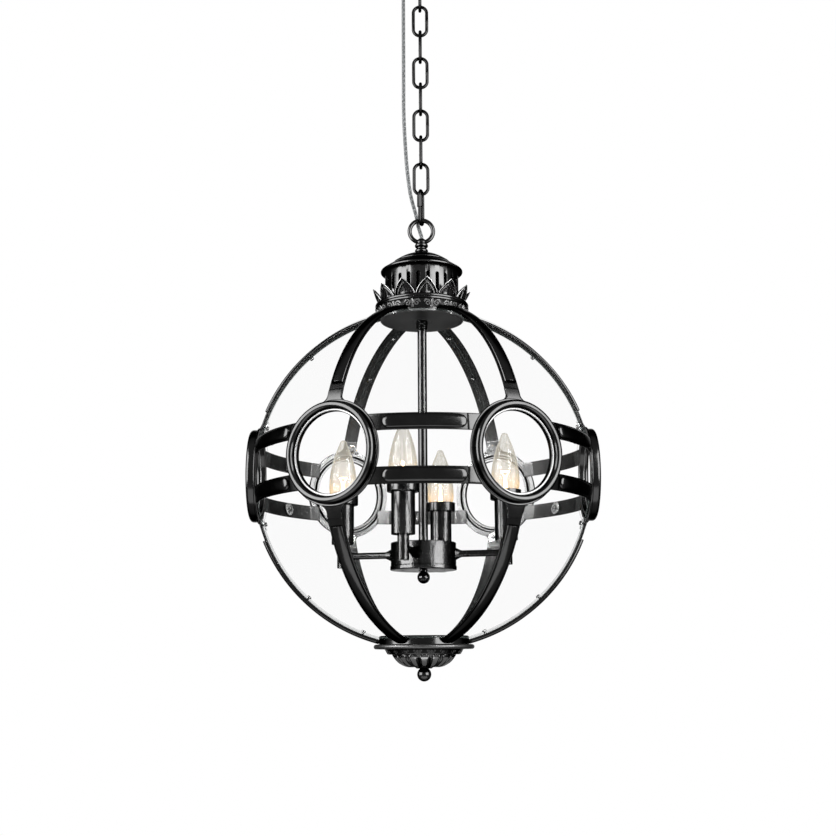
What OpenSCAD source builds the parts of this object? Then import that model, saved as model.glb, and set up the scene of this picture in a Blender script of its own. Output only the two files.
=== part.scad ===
// Globe lantern chandelier: a spherical frame of six port rings, ribs and bands
// round clear glass panels, with four candle lamps, hung on a chain from a canopy.
// Millimetres, +Z up. The origin is on the ceiling, at the centre of the canopy.

/* [Lantern globe] */
// Radius over the crowns of the frame mouldings
globe_r = 250; // [235:1:265]
// Thickness of the flat straps under the mouldings
strap_t = 2.5; // [2:0.5:3]
// Width of the flat straps
strap_w = 22.5; // [20:0.5:25]
// Height of the rounded moulding above its strap
crown_h = 4; // [3.5:0.5:5]
// Width of the rounded moulding at its foot
crown_w = 18; // [15:0.5:19]
// Height of the band centre lines above and below the equator
band_z = 34.5; // [33:0.5:37]

/* [Port rings] */
// Radius of the ring's outer flange
ring_r = 70; // [66:1:72]
// Radius of the round opening
ring_open_r = 51; // [48:1:53]
// Thickness of the ring's flange
ring_t = 3; // [2.5:0.5:4]
// Width of the half-round moulding on the ring
ring_roll_w = 9.5; // [8:0.5:10]
// Width of the flange that shows outside the moulding
ring_lip_w = 4.5; // [3.5:0.5:6]
// Radius of the bead round the opening
bead_r = 2.5; // [1.5:0.5:2.5]
// Length of the flat tab between a ring and a rib
rib_tab = 16.5; // [14:0.5:20]
// Length of the flat tab between a ring and a band
band_tab = 11; // [9:0.5:13]

/* [Glass] */
// Thickness of the glass panels
glass_t = 3; // [2:0.5:4]
// Gap between the edges of two neighbouring panels
glass_gap = 5; // [4.5:0.5:6]
// Radius of the clear washers inside the glass
washer_r = 9.25; // [7:0.25:10]
// Thickness of the clear washers
washer_t = 1.5; // [1:0.5:2]
// Shank radius of the frame screws
screw_r = 1.7; // [1.2:0.1:2]
// Head radius of the frame screws
screw_head_r = 3.2; // [2.8:0.1:4]

/* [Cap] */
// Depth of the underside disc below the top of the globe
cap_sink = 18; // [16:1:22]
// Radius of the underside disc
disc_r = 61.8; // [60:0.1:63]
// Thickness of the underside disc
disc_t = 2.5; // [2:0.5:3]
// Radius over the rolled edge of the collar
collar_r = 69.7; // [68:0.1:71]
// Height from the underside disc to the top of the collar
collar_up = 25; // [23:0.5:26]
// Radius of the vented drum
drum_r = 55; // [52:0.5:57]
// Height of the vented drum
drum_h = 49; // [44:1:54]
// Number of vent slots round the drum
slot_count = 24; // [16:1:30]
// Width of a vent slot
slot_w = 5.7; // [4:0.1:7]
// Radius over the cap's rolled rim
cap_r = 61.5; // [59:0.5:64]
// Height of the two-tier cap
cap_h = 31; // [27:1:35]
// Radius of the step between the two tiers
cap_step_r = 42; // [36:1:48]
// Number of leaves in the crown
leaf_count = 12; // [10:1:14]
// Width of a leaf at its foot
leaf_w = 29; // [24:0.5:31]
// Height of a leaf above the collar
leaf_h = 19; // [15:0.5:22]

/* [Suspension] */
// Height of the turned neck
neck_h = 25; // [22:0.5:28]
// Radius of the beads on the neck
neck_r = 10; // [9:0.5:11]
// Radius of the hanging loops, to the middle of the wire
loop_r = 17.7; // [16:0.1:20]
// Wire diameter of the hanging loops
loop_wire = 6.5; // [5.5:0.1:7]
// Overall length of a chain link
link_len = 54; // [48:1:60]
// Overall width of a chain link
link_w = 26; // [24:0.5:28]
// Wire diameter of the chain
link_wire = 5; // [4:0.1:5.5]
// Overall length of the quick link
quick_len = 58; // [56:1:66]
// Overall width of the quick link
quick_w = 24; // [22:0.5:26]
// Length of the quick link's screw sleeve
quick_nut_len = 18; // [16:0.5:19]
// Diameter of the supply cord
cord_d = 5.6; // [4.5:0.1:6]

/* [Ceiling mount] */
// Radius of the canopy
canopy_r = 60; // [56:1:70]
// Depth of the canopy
canopy_h = 28; // [24:1:34]
// Wall of the sheet metal covers
sheet_t = 1.5; // [1:0.1:2]
// Distance between the two fixing holes of the ceiling bracket
bracket_pitch = 88.9; // [70:0.1:92]
// Radius of a fixing hole
bracket_hole_r = 2.5; // [2:0.1:3]
// Outer radius of the threaded tubes
nipple_r = 5; // [4.5:0.1:5.5]

/* [Lamp cluster] */
// Radius of the stem
stem_r = 6.8; // [6:0.1:8]
// Radius of the hub
hub_r = 47; // [42:0.5:50]
// Top of the hub, below the globe's centre
hub_top = 98; // [94:0.5:102]
// Height of the hub with its lid
hub_h = 39.5; // [36:0.5:43]
// Height of the lid
lid_h = 6; // [5:0.5:8]
// Distance from the stem to a candle
arm_reach = 121; // [112:1:126]
// Radius of an arm
arm_r = 4.8; // [4:0.1:5.5]
// Height of an arm's centre line below the hub's top
arm_drop = 17; // [15:0.5:20]
// Radius of the tube that carries a candle
post_r = 8; // [7:0.1:9]
// Radius of a candle sleeve
sleeve_r = 16.3; // [15:0.1:18]
// Length of a candle sleeve
sleeve_h = 57.5; // [52:0.5:62]
// Radius of a drip cup
cup_r = 22.2; // [20:0.1:24]
// Height of a drip cup
cup_h = 14; // [12:0.5:16]
// Largest radius of a bulb
bulb_r = 18.3; // [16.5:0.1:18.5]
// Height of a bulb above its drip cup
bulb_up = 72; // [66:1:76]

/* [Base] */
// Radius of the inner plate
plate_r = 64; // [63:0.5:65]
// Height of the inner plate
plate_h = 12; // [11:0.5:13]
// Radius of the base flange
flange_r = 71.5; // [69:0.5:74]
// Thickness of the base flange
flange_h = 6.5; // [5:0.5:8]
// Radius of the ornament tier
tier_r = 55.6; // [50:0.1:58]
// Height of the ornament tier
tier_h = 7.5; // [6:0.5:9]
// Radius of the fluted dome at its top
dome_r = 44.7; // [42:0.1:46]
// Height of the fluted dome
dome_h = 17; // [15.5:0.5:18.5]
// Number of flutes
flute_count = 18; // [14:1:20]
// Radius of the ball finials
ball_r = 10; // [8:0.1:11]

/* [Hidden] */
$fn = 96;
link_count = 8;
clear = 0.3;
run = 0.05;
pitch = 60;
strap_out = globe_r - crown_h;
strap_in = strap_out - strap_t;
strap_mid = (strap_in + strap_out) / 2;
disc_z = globe_r - cap_sink;
crown_bow = ((crown_w / 2) ^ 2 + crown_h ^ 2) / (2 * crown_h);
sink = 0.6;
far = 2 * globe_r;

ring_back = sqrt(strap_out ^ 2 - ring_r ^ 2) - clear;
roll_r = ring_roll_w / 2;
roll_at = ring_r - ring_lip_w - roll_r;
bead_at = ring_open_r + bead_r;
rib_start = asin(ring_r / strap_out) + rib_tab / strap_mid * 180 / PI;
rib_sink = 4.4;
rib_stop = acos((disc_r - rib_sink) / strap_out);
crown_inset = 0.2;
band_tilt = asin(band_z / strap_mid);
band_r = strap_out * cos(band_tilt);
band_edge = asin(sqrt(ring_r ^ 2 - band_z ^ 2) / band_r);
band_half = pitch / 2 - band_edge - band_tab / band_r * 180 / PI;
tab_root = 2.3;
flare_r = 8;
flare_in = 2;

glass_out = strap_in - clear;
glass_in = glass_out - glass_t;
glass_ring_r = ring_r - 3.5;
glass_lap = strap_w / 2 - 5;
glass_top_r = disc_r + 1.7;
glass_foot_r = plate_r + 1.5;
washer_e = asin(ring_r / glass_in) + 0.25;
washer_x = sqrt(glass_in ^ 2 - washer_r ^ 2) - 0.02;
hole_depth = 2.2;
hole_slack = 0.1;
rib_screws = [47, 69];
screw_head_h = 2.4;

disc_top = disc_z + disc_t;
collar_h = 6;
collar_top = disc_z + collar_up;
collar_foot = collar_top - collar_h;
drum_top = collar_top + drum_h;
cap_top = drum_top + cap_h;
neck_top = cap_top + neck_h;
loop_sink = 6.7;
loop_up = neck_top + loop_r - loop_sink;
slot_rise = 37;
slot_foot = 3;
slot_phase = -3;
leaf_phase = 8;
leaf_gap = 4.7;
leaf_lean = 10;
leaf_t = 1.6;
cap_tier_h = 15;
cap_lip = 1.8;
cap_rim_bow = 90;
cap_crown_bow = 70;

canopy_corner = 22;
collar_nut_r = 12;
collar_nut_h = 8;
canopy_loop_sink = 1.7;
canopy_loop_z = -(canopy_h + collar_nut_h + loop_r - canopy_loop_sink);
bend_r = (link_w - link_wire) / 2;
link_span = link_len - link_wire;
hook = (loop_wire + link_wire) / 2 + clear;
link_step = link_span - link_wire - clear;
link_1_z = canopy_loop_z - loop_r + hook - link_span / 2;
quick_bend = (quick_w - link_wire) / 2;
quick_span = quick_len - link_wire;
quick_yaw = 15;
quick_z = link_1_z - (link_count - 1) * link_step - link_span / 2 + link_wire + clear - quick_span / 2;
quick_nut_r = 4;
quick_gap = 9;
loop_z = quick_z - quick_span / 2 + hook - loop_r;
globe_z = loop_z - loop_up;

bracket_l = 110;
bracket_w = 20;
bracket_t = 3;
hex_r = 9;
hex_h = 5;
gland_x = -26;
gland_r = 6;
gland_h = 12;
cord_bore = cord_d / 2 + clear;
wire_bore = 2;

hub_foot = hub_top + hub_h;
arm_z = -(hub_top + arm_drop);
arm_turn = -13.5;
post_foot = 34.5;
sleeve_foot = -hub_top + 0.5;
cup_z = sleeve_foot + sleeve_h;
cup_top = cup_z + cup_h;
holder_r = 13.5;
cap_screw_r = 6.9;
cap_screw_l = 26;
bulb_neck_r = 9;
bulb_mid = 12;
bulb_shoulder = 18;
bulb_tip_r = 2.5;
stem_nut_r = 8.5;
stem_nut_h = 12;

flange_drop = 8;
flange_top = globe_r - flange_drop;
plate_top = flange_top - plate_h;
tier_top = flange_top + flange_h;
dome_top = tier_top + tier_h;
dome_bow = 30;
flute_r = 1.7;
boss_collar_r = 13.5;
boss_collar_h = 2.5;
ball_flat = 2;

// The route of the supply cord, from the gland on the canopy to the neck's bore
cord_route = [
    [-26, 0, -40], [-26, 0, -90], [-26, 0, -150], [-26, 0, -220], [-26, 0, -285],
    [-24, 0, -335], [-21, 0, -380], [-16, 1, -419], [-9, 5, -446], [-6, 7, -458],
    [-5, 6.5, -466], [-2, 3, -478], [0, 0, -486], [0, 0, -491.8]
];
cord_sides = 8;
cord_steps = 3;

LINKS = [for (i = [1:link_count]) str("chain_link_", i)];
ARMS = [for (i = [1:4]) str("lamp_arm_", i)];
SLEEVES = [for (i = [1:4]) str("candle_sleeve_", i)];
BULBS = [for (i = [1:4]) str("bulb_", i)];
RINGS = [for (i = [1:6]) str("port_ring_", i)];

black = "#18181a";
gunmetal = "#2b2b2e";
clear_glass = [0.86, 0.92, 0.94, 0.35];

// Places its children in the globe's own frame
module at_globe() {
    translate([0, 0, globe_z]) children();
}

// Turns +X to the azimuth, counted from the front (-Y) towards +X
module azimuth(a) {
    rotate([0, 0, a - 90]) children();
}

// Turns +X up to the elevation
module elevation(e) {
    rotate([0, -e, 0]) children();
}

// Stands a profile's own Z axis along +X
module outward() {
    rotate([0, 90, 0]) children();
}

// Sweeps a 2D profile up a meridian, from one elevation to another
module meridian(from, to) {
    rotate([90, 0, 0]) rotate([0, 0, from]) rotate_extrude(angle = to - from, $fn = 180) children();
}

// The flat strap in section, its middle on the x axis
module strap_section() {
    translate([strap_in, -strap_w / 2]) square([strap_t, strap_w]);
}

// The circle that the moulding's crown is cut from, at a distance from its origin
module crown_section(base) {
    intersection() {
        translate([base + crown_h - crown_bow, 0]) circle(crown_bow);
        translate([base - sink, -crown_w]) square([crown_h + 2 * sink, 2 * crown_w]);
    }
}

// Half of a rounded end of the moulding, at its place on a strap along +X
module crown_end() {
    translate([strap_out, 0, 0]) rotate([90, 0, 0]) rotate([0, 90, 0])
        rotate_extrude(angle = 180) intersection() {
            rotate(90) crown_section(0);
            translate([0, -sink]) square([crown_w, crown_h + 2 * sink]);
        }
}

// A radial screw hole in the back of a strap
module strap_hole() {
    translate([strap_in - 1, 0, 0]) outward()
        cylinder(r = screw_r + hole_slack, h = hole_depth + 1, $fn = 32);
}

// One rib with its strap and its moulding, rounded where it meets a ring's tab
module rib() {
    difference() {
        union() {
            meridian(rib_start, rib_stop) strap_section();
            meridian(rib_cap(), rib_stop) crown_section(strap_out);
            elevation(rib_cap()) rotate([180, 0, 0]) rotate([90, 0, 0]) crown_end();
        }
        for (e = rib_screws) elevation(e) strap_hole();
    }
}

// Elevation of the centre of a rib's rounded end
function rib_cap() = rib_start + (crown_w / 2 + crown_inset) / strap_out * 180 / PI;

// Half the angle between the centres of a band's rounded ends
function band_cap() = band_half - (crown_w / 2 + crown_inset) / band_r * 180 / PI;

// One band with its strap and its moulding, rounded at both ends
module band() {
    difference() {
        union() {
            rotate([0, 0, -band_half]) rotate_extrude(angle = 2 * band_half, $fn = 180)
                rotate(band_tilt) strap_section();
            rotate([0, 0, -band_cap()]) rotate_extrude(angle = 2 * band_cap(), $fn = 180)
                rotate(band_tilt) crown_section(strap_out);
            for (s = [0, 1]) mirror([0, s, 0])
                rotate([0, 0, band_cap()]) elevation(band_tilt) crown_end();
        }
        elevation(band_tilt) strap_hole();
    }
}

// The solid that the ribs' upper ends stop against
module collar_core(grow = 0) {
    rotate_extrude() polygon([
        [0, disc_z - 20], [disc_r + grow, disc_z - 20], [disc_r + grow, disc_top],
        [cone_r(collar_foot) + grow, collar_foot], [cone_r(collar_foot) + grow, cap_top], [0, cap_top]
    ]);
}

// Radius of the ornament ring's slope at a height
function cone_r(z) = disc_r + (collar_r - 0.2 - disc_r) * (z - disc_top) / (collar_foot - disc_top);

module upper_ribs() {
    color(black) at_globe() for (a = [pitch / 2:pitch:359]) difference() {
        azimuth(a) rib();
        collar_core();
    }
}

module lower_ribs() {
    color(black) at_globe() for (a = [pitch / 2:pitch:359]) difference() {
        azimuth(a) mirror([0, 0, 1]) rib();
        translate([0, 0, -tier_top]) cylinder(r = plate_r, h = flange_h + 2 * plate_h);
    }
}

module upper_bands() {
    color(black) at_globe() for (a = [0:pitch:359]) azimuth(a) band();
}

module lower_bands() {
    color(black) at_globe() for (a = [0:pitch:359]) azimuth(a) mirror([0, 0, 1]) band();
}

// Section of a port ring, with the distance from its own axis as x
module ring_section() {
    translate([ring_open_r, ring_back]) square([ring_r - ring_open_r, ring_t]);
    translate([roll_at - roll_r, ring_back]) square([ring_roll_w, globe_r - roll_r - ring_back]);
    translate([roll_at, globe_r - roll_r]) circle(roll_r);
    translate([ring_open_r, ring_back]) square([2 * bead_r, ring_t + 5]);
    translate([bead_at, ring_back + ring_t + 5]) circle(bead_r);
}

// Outline of the tab that carries a rib, seen along the ring's axis
module tab_outline() {
    translate([-strap_w / 2, ring_r - 14]) square([strap_w, 40]);
    difference() {
        translate([-strap_w / 2 - flare_r, ring_r - 9])
            square([strap_w + 2 * flare_r, 9 + flare_r - flare_in]);
        for (s = [-1, 1])
            translate([s * (strap_w / 2 + flare_r), ring_r + flare_r - flare_in]) circle(flare_r);
    }
}

// The tab above a ring, up to the seam with the rib
module rib_tab_solid() {
    intersection() {
        meridian(rib_start - 8, rib_start)
            translate([strap_in, -strap_w]) square([strap_t, 2 * strap_w]);
        rotate([90, 0, 90]) linear_extrude(far) tab_outline();
    }
}

// The four tabs beside a ring, up to the seams with the bands
module band_tab_solid() {
    rotate([0, 0, band_edge - tab_root])
        rotate_extrude(angle = pitch / 2 - band_half - band_edge + tab_root, $fn = 180)
            rotate(band_tilt) strap_section();
}

module port_ring(i) {
    color(black) at_globe() azimuth(pitch * i - pitch / 2) difference() {
        union() {
            outward() rotate_extrude($fn = 128) ring_section();
            for (u = [0, 1]) mirror([0, 0, u]) {
                rib_tab_solid();
                for (s = [0, 1]) mirror([0, s, 0]) band_tab_solid();
            }
        }
        for (u = [0, 1]) mirror([0, 0, u]) elevation(washer_e) strap_hole();
    }
}

// One glass panel, centred on +X, from its lap behind the band to a radius near the pole
module glass_panel(pole_r) {
    difference() {
        rotate([0, 0, -pitch / 2]) rotate_extrude(angle = pitch, $fn = 180) intersection() {
            difference() {
                circle(glass_out, $fn = 180);
                circle(glass_in, $fn = 180);
            }
            translate([pole_r, band_z - glass_lap]) square([far, far]);
        }
        for (s = [-1, 1]) rotate([0, 0, s * pitch / 2]) {
            translate([0, -glass_gap / 2, 0]) cube([far, glass_gap, far]);
            outward() cylinder(r = glass_ring_r, h = far);
        }
        elevation(band_tilt) outward() cylinder(r = screw_r + 0.4, h = far, $fn = 32);
    }
}

module upper_glass() {
    color(clear_glass) at_globe() for (a = [0:pitch:359]) azimuth(a) glass_panel(glass_top_r);
}

module lower_glass() {
    color(clear_glass) at_globe() for (a = [0:pitch:359]) azimuth(a) mirror([0, 0, 1])
        glass_panel(glass_foot_r);
}

// Puts its children at each washer's place, above and below the equator
module at_washers() {
    for (u = [0, 1]) mirror([0, 0, u]) {
        for (a = [pitch / 2:pitch:359]) azimuth(a) elevation(washer_e) children();
        for (a = [0:pitch:359]) azimuth(a) elevation(band_tilt) children();
    }
}

module glass_washers() {
    color(clear_glass) at_globe() at_washers() translate([washer_x - washer_t, 0, 0])
        outward() difference() {
            cylinder(r = washer_r, h = washer_t, $fn = 48);
            translate([0, 0, -1]) cylinder(r = screw_r + hole_slack, h = washer_t + 2, $fn = 32);
        }
}

// A screw along +X whose head bears inwards at a distance from the globe's centre
module screw(seat) {
    translate([seat - screw_head_h, 0, 0]) outward() {
        cylinder(r = screw_head_r, h = screw_head_h, $fn = 32);
        cylinder(r = screw_r, h = strap_in + hole_depth - clear - seat + screw_head_h, $fn = 32);
    }
}

module frame_screws() {
    color(gunmetal) at_globe() {
        at_washers() screw(washer_x - washer_t - 0.02);
        for (u = [0, 1]) mirror([0, 0, u]) for (a = [pitch / 2:pitch:359], e = rib_screws)
            azimuth(a) elevation(e) screw(sqrt(glass_in ^ 2 - screw_head_r ^ 2) - 0.02);
    }
}

// The region under a circular arc of radius bow that falls from inner to outer
module bow_under(inner, outer, bow) {
    mid = (inner + outer) / 2;
    half = norm(outer - inner) / 2;
    drop = sqrt(bow ^ 2 - half ^ 2);
    along = (outer - inner) / (2 * half);
    intersection() {
        translate(mid + drop * [along[1], -along[0]]) circle(bow, $fn = 180);
        translate([0, outer[1]]) square([outer[0], inner[1] - outer[1]]);
    }
}

// Half section of the cap's sheet, drawn in or out by the sheet's thickness
module cap_shape(inset) {
    step_z = drum_top + cap_tier_h;
    translate([0, -inset]) {
        bow_under([cap_step_r, step_z], [cap_r - cap_lip - inset, drum_top], cap_rim_bow);
        translate([0, drum_top]) square([cap_step_r, cap_tier_h]);
        bow_under([neck_r, cap_top], [cap_step_r - inset, step_z], cap_crown_bow);
        translate([0, step_z]) square([neck_r, cap_top - step_z]);
    }
}

module cap_dome() {
    color(black) at_globe() difference() {
        rotate_extrude($fn = 128) {
            difference() {
                cap_shape(0);
                cap_shape(sheet_t);
            }
            translate([drum_r - 3, drum_top]) square([cap_r - cap_lip - drum_r + 3, sheet_t]);
            translate([cap_r - cap_lip, drum_top + cap_lip]) circle(cap_lip);
        }
        translate([0, 0, drum_top]) cylinder(r = nipple_r + run, h = cap_h + 1);
    }
}

module vent_drum() {
    color(black) at_globe() difference() {
        translate([0, 0, collar_top]) cylinder(r = drum_r, h = drum_h, $fn = 128);
        translate([0, 0, collar_top - 1]) cylinder(r = drum_r - sheet_t, h = drum_h + 2, $fn = 128);
        for (a = [slot_phase:360 / slot_count:slot_phase + 359]) azimuth(a) {
            translate([drum_r / 2, -slot_w / 2, collar_top + slot_foot])
                cube([drum_r, slot_w, slot_rise - slot_foot - slot_w / 2]);
            translate([drum_r / 2, 0, collar_top + slot_rise - slot_w / 2]) outward()
                cylinder(r = slot_w / 2, h = drum_r, $fn = 32);
        }
    }
}

// A pointed leaf outline standing on the x axis
module leaf_outline(w, h) {
    shift = (h ^ 2 - (w / 2) ^ 2) / w;
    intersection() {
        translate([-shift, 0]) circle(w / 2 + shift);
        translate([shift, 0]) circle(w / 2 + shift);
        translate([-w, 0]) square([2 * w, h + 1]);
    }
}

// A leaning ring of sheet that the leaves are cut from
module leaf_sheet(out, t) {
    foot_r = drum_r + leaf_gap;
    rotate_extrude($fn = 128) polygon([
        [foot_r + out - t, collar_top], [foot_r + out, collar_top],
        [foot_r + out + leaf_lean, collar_top + leaf_h + 2],
        [foot_r + out + leaf_lean - t, collar_top + leaf_h + 2]
    ]);
}

// Cuts its children to a leaf outline at each leaf's place
module at_leaves() {
    for (a = [leaf_phase:360 / leaf_count:leaf_phase + 359]) azimuth(a)
        translate([drum_r / 2, 0, collar_top]) rotate([90, 0, 90]) linear_extrude(drum_r)
            children();
}

module leaf_crown() {
    vein_w = 1.8;
    color(black) at_globe() {
        intersection() {
            leaf_sheet(0, leaf_t);
            at_leaves() leaf_outline(leaf_w, leaf_h);
        }
        intersection() {
            leaf_sheet(1.2, leaf_t);
            at_leaves() {
                difference() {
                    leaf_outline(leaf_w, leaf_h);
                    leaf_outline(leaf_w - 5, leaf_h - 4);
                }
                translate([-vein_w / 2, 0]) square([vein_w, leaf_h - 6]);
                leaf_outline(leaf_w / 3, leaf_h / 2);
            }
        }
        translate([0, 0, collar_top]) difference() {
            cylinder(r = drum_r + leaf_gap + 2.5, h = 2);
            translate([0, 0, -1]) cylinder(r = drum_r + leaf_gap - 2, h = 4);
        }
    }
}

module top_collar() {
    edge = collar_h / 2;
    color(black) at_globe() rotate_extrude($fn = 128) {
        translate([drum_r - 8, collar_foot]) square([collar_r - edge - drum_r + 8, collar_h]);
        translate([collar_r - edge, collar_foot + edge]) circle(edge);
    }
}

module ornament_ring() {
    wall = 3;
    color(black) at_globe() rotate_extrude($fn = 128) polygon([
        [disc_r - wall, disc_top], [disc_r, disc_top],
        [cone_r(collar_foot), collar_foot], [cone_r(collar_foot) - wall, collar_foot]
    ]);
}

module top_disc() {
    color(gunmetal) at_globe() difference() {
        translate([0, 0, disc_z]) cylinder(r = disc_r, h = disc_t, $fn = 128);
        translate([0, 0, disc_z - 1]) cylinder(r = nipple_r + run, h = disc_t + 2);
    }
}

// The threaded tube that clamps the cap together and carries the stem
module centre_nipple() {
    foot = disc_z - stem_nut_h + 2;
    color(gunmetal) at_globe() difference() {
        translate([0, 0, foot]) cylinder(r = nipple_r, h = cap_top + 6 - foot);
        translate([0, 0, foot - 1]) cylinder(r = cord_bore, h = cap_top + 8 - foot);
    }
}

module stem_nut() {
    color(black) at_globe() translate([0, 0, disc_z - stem_nut_h]) difference() {
        cylinder(r = stem_nut_r, h = stem_nut_h);
        translate([0, 0, 2]) cylinder(r = nipple_r + run, h = stem_nut_h);
        translate([0, 0, -1]) cylinder(r = cord_bore, h = 4);
    }
}

module stem() {
    color(black) at_globe() translate([0, 0, -hub_top]) difference() {
        cylinder(r = stem_r, h = hub_top + disc_z - stem_nut_h);
        translate([0, 0, -1]) cylinder(r = stem_r - sheet_t, h = hub_top + disc_z);
    }
}

module hub_body() {
    h = hub_h - lid_h;
    color(black) at_globe() translate([0, 0, -hub_top - h]) difference() {
        cylinder(r = hub_r, h = h, $fn = 128);
        translate([0, 0, -1]) cylinder(r = hub_r - 2, h = h - 1, $fn = 128);
        cylinder(r = stem_r - sheet_t, h = h + 1);
    }
}

module hub_lid() {
    color(black) at_globe() translate([0, 0, -hub_foot]) difference() {
        cylinder(r = hub_r + 0.8, h = lid_h, $fn = 128);
        translate([0, 0, 2]) cylinder(r = hub_r - 2, h = lid_h, $fn = 128);
    }
}

module hub_finial() {
    color(black) at_globe() translate([0, 0, -hub_foot]) {
        translate([0, 0, -ball_r]) sphere(ball_r - 1);
        translate([0, 0, -ball_r / 2]) cylinder(r = ball_r / 2, h = ball_r / 2);
    }
}

// Turns +X from the stem to a candle
module at_arm(i) {
    at_globe() azimuth(arm_turn + 90 * (i - 1)) children();
}

module lamp_arm(i) {
    color(black) at_arm(i) difference() {
        union() {
            translate([hub_r - 2, 0, arm_z]) outward() cylinder(r = arm_r, h = arm_reach - hub_r);
            translate([hub_r - 2, 0, arm_z]) outward() cylinder(r1 = 8.5, r2 = arm_r, h = 10);
            translate([arm_reach, 0, sleeve_foot - post_foot]) cylinder(r = post_r, h = post_foot);
        }
        cylinder(r = hub_r, h = far, center = true, $fn = 128);
        translate([arm_reach, 0, sleeve_foot - post_foot + 6])
            cylinder(r = post_r - sheet_t, h = post_foot);
        translate([hub_r - 10, 0, arm_z]) outward() cylinder(r = wire_bore, h = arm_reach - hub_r + 5);
    }
}

module candle_sleeve(i) {
    wall = 1.3;
    color(black) at_arm(i) translate([arm_reach, 0, 0]) difference() {
        union() {
            translate([0, 0, sleeve_foot]) cylinder(r = sleeve_r, h = sleeve_h);
            rotate_extrude() {
                translate([0, cup_z]) square([cup_r - 1.5, cup_h]);
                translate([0, cup_z + 1.5]) square([cup_r, cup_h - 1.5]);
                translate([cup_r - 1.5, cup_z + 1.5]) circle(1.5);
            }
        }
        translate([0, 0, sleeve_foot + wall]) cylinder(r = sleeve_r - wall, h = sleeve_h + cup_h);
        translate([0, 0, cup_z + 2]) cylinder(r = cup_r - wall, h = cup_h);
        translate([0, 0, sleeve_foot - 1]) cylinder(r = wire_bore + 1, h = 4);
    }
}

// The screw sockets inside the sleeves
module lamp_holders() {
    foot = sleeve_foot + 1.3;
    color("#3a3530") for (i = [1:4]) at_arm(i) translate([arm_reach, 0, 0]) difference() {
        translate([0, 0, foot]) cylinder(r = holder_r, h = cup_z - foot);
        translate([0, 0, cup_z - cap_screw_l - 2])
            cylinder(r = cap_screw_r + clear, h = cap_screw_l + 4);
        translate([0, 0, foot - 1]) cylinder(r = wire_bore + 1, h = 6);
    }
}

// A candle bulb with its screw cap, filament side up
module bulb(i) {
    belly = cup_z + bulb_shoulder;
    rise = cup_top + bulb_up - bulb_tip_r - belly;
    gap = bulb_r - bulb_tip_r;
    bow = (gap ^ 2 + rise ^ 2) / (2 * gap);
    color(clear_glass) at_arm(i) translate([arm_reach, 0, 0]) rotate_extrude() {
        translate([0, cup_z - cap_screw_l]) square([cap_screw_r, cap_screw_l + 2]);
        translate([0, cup_z + clear]) square([bulb_neck_r, bulb_mid]);
        intersection() {
            translate([0, belly]) circle(bulb_r);
            translate([0, cup_z + clear]) square([bulb_r, bulb_shoulder - clear]);
        }
        intersection() {
            translate([bulb_r - bow, belly]) circle(bow, $fn = 180);
            translate([0, belly]) square([bulb_r, rise]);
        }
        intersection() {
            translate([0, belly + rise]) circle(bulb_tip_r);
            translate([0, belly + rise]) square(bulb_tip_r);
        }
    }
}

// A chain link in the XZ plane, centred on the origin
module link_ring(span, bend) {
    for (s = [0, 1]) mirror([0, 0, s]) translate([0, 0, span / 2 - bend]) rotate([90, 0, 0])
        rotate_extrude(angle = 180) translate([bend, 0]) circle(link_wire / 2, $fn = 32);
    for (s = [-1, 1]) translate([s * bend, 0, -(span / 2 - bend)])
        cylinder(r = link_wire / 2, h = span - 2 * bend, $fn = 32);
}

module chain_link(i) {
    color(gunmetal) translate([0, 0, link_1_z - (i - 1) * link_step])
        rotate([0, 0, i % 2 == 1 ? 90 : 0]) link_ring(link_span, bend_r);
}

// Places its children on the quick link, with its threaded side along -X
module at_quick() {
    translate([0, 0, quick_z]) rotate([0, 0, 90 - quick_yaw]) children();
}

// Top of the quick link's screw sleeve, above the link's middle
function quick_nut_top() = quick_span / 2 - quick_bend - 1;

module quick_link() {
    color(gunmetal) at_quick() difference() {
        link_ring(quick_span, quick_bend);
        translate([-quick_bend, 0, quick_nut_top() - 5 - quick_gap / 2])
            cube([2 * link_wire, 2 * link_wire, quick_gap], center = true);
    }
}

module quick_link_nut() {
    color(gunmetal) at_quick() translate([-quick_bend, 0, quick_nut_top() - quick_nut_len])
        difference() {
            cylinder(r = quick_nut_r, h = quick_nut_len, $fn = 6);
            translate([0, 0, -1]) cylinder(r = link_wire / 2 + run, h = quick_nut_len + 2, $fn = 48);
        }
}

module top_loop() {
    bead = 3.4;
    color(black) translate([0, 0, loop_z]) difference() {
        union() {
            rotate([90, 0, 0]) rotate([0, 0, -60]) rotate_extrude(angle = 300)
                translate([loop_r, 0]) circle(loop_wire / 2, $fn = 48);
            translate([0, 0, -loop_up]) rotate_extrude() {
                translate([0, cap_top]) square([neck_r - 2, neck_h - 8]);
                translate([0, cap_top]) square([neck_r, 1.2]);
                translate([neck_r - bead, cap_top + 4.5]) circle(bead);
                translate([neck_r - bead, cap_top + 13]) circle(bead);
                intersection() {
                    translate([0, neck_top - 8]) circle(neck_r - 2);
                    translate([0, neck_top - 9]) square([neck_r, 9]);
                }
            }
        }
        translate([0, 0, -loop_up]) {
            translate([0, 0, cap_top - 1]) cylinder(r = nipple_r + run, h = 7.2);
            translate([0, 0, cap_top]) cylinder(r = wire_bore, h = neck_h);
            translate([0, 0, neck_top - 3]) cylinder(r = cord_bore, h = 4);
        }
    }
}

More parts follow.
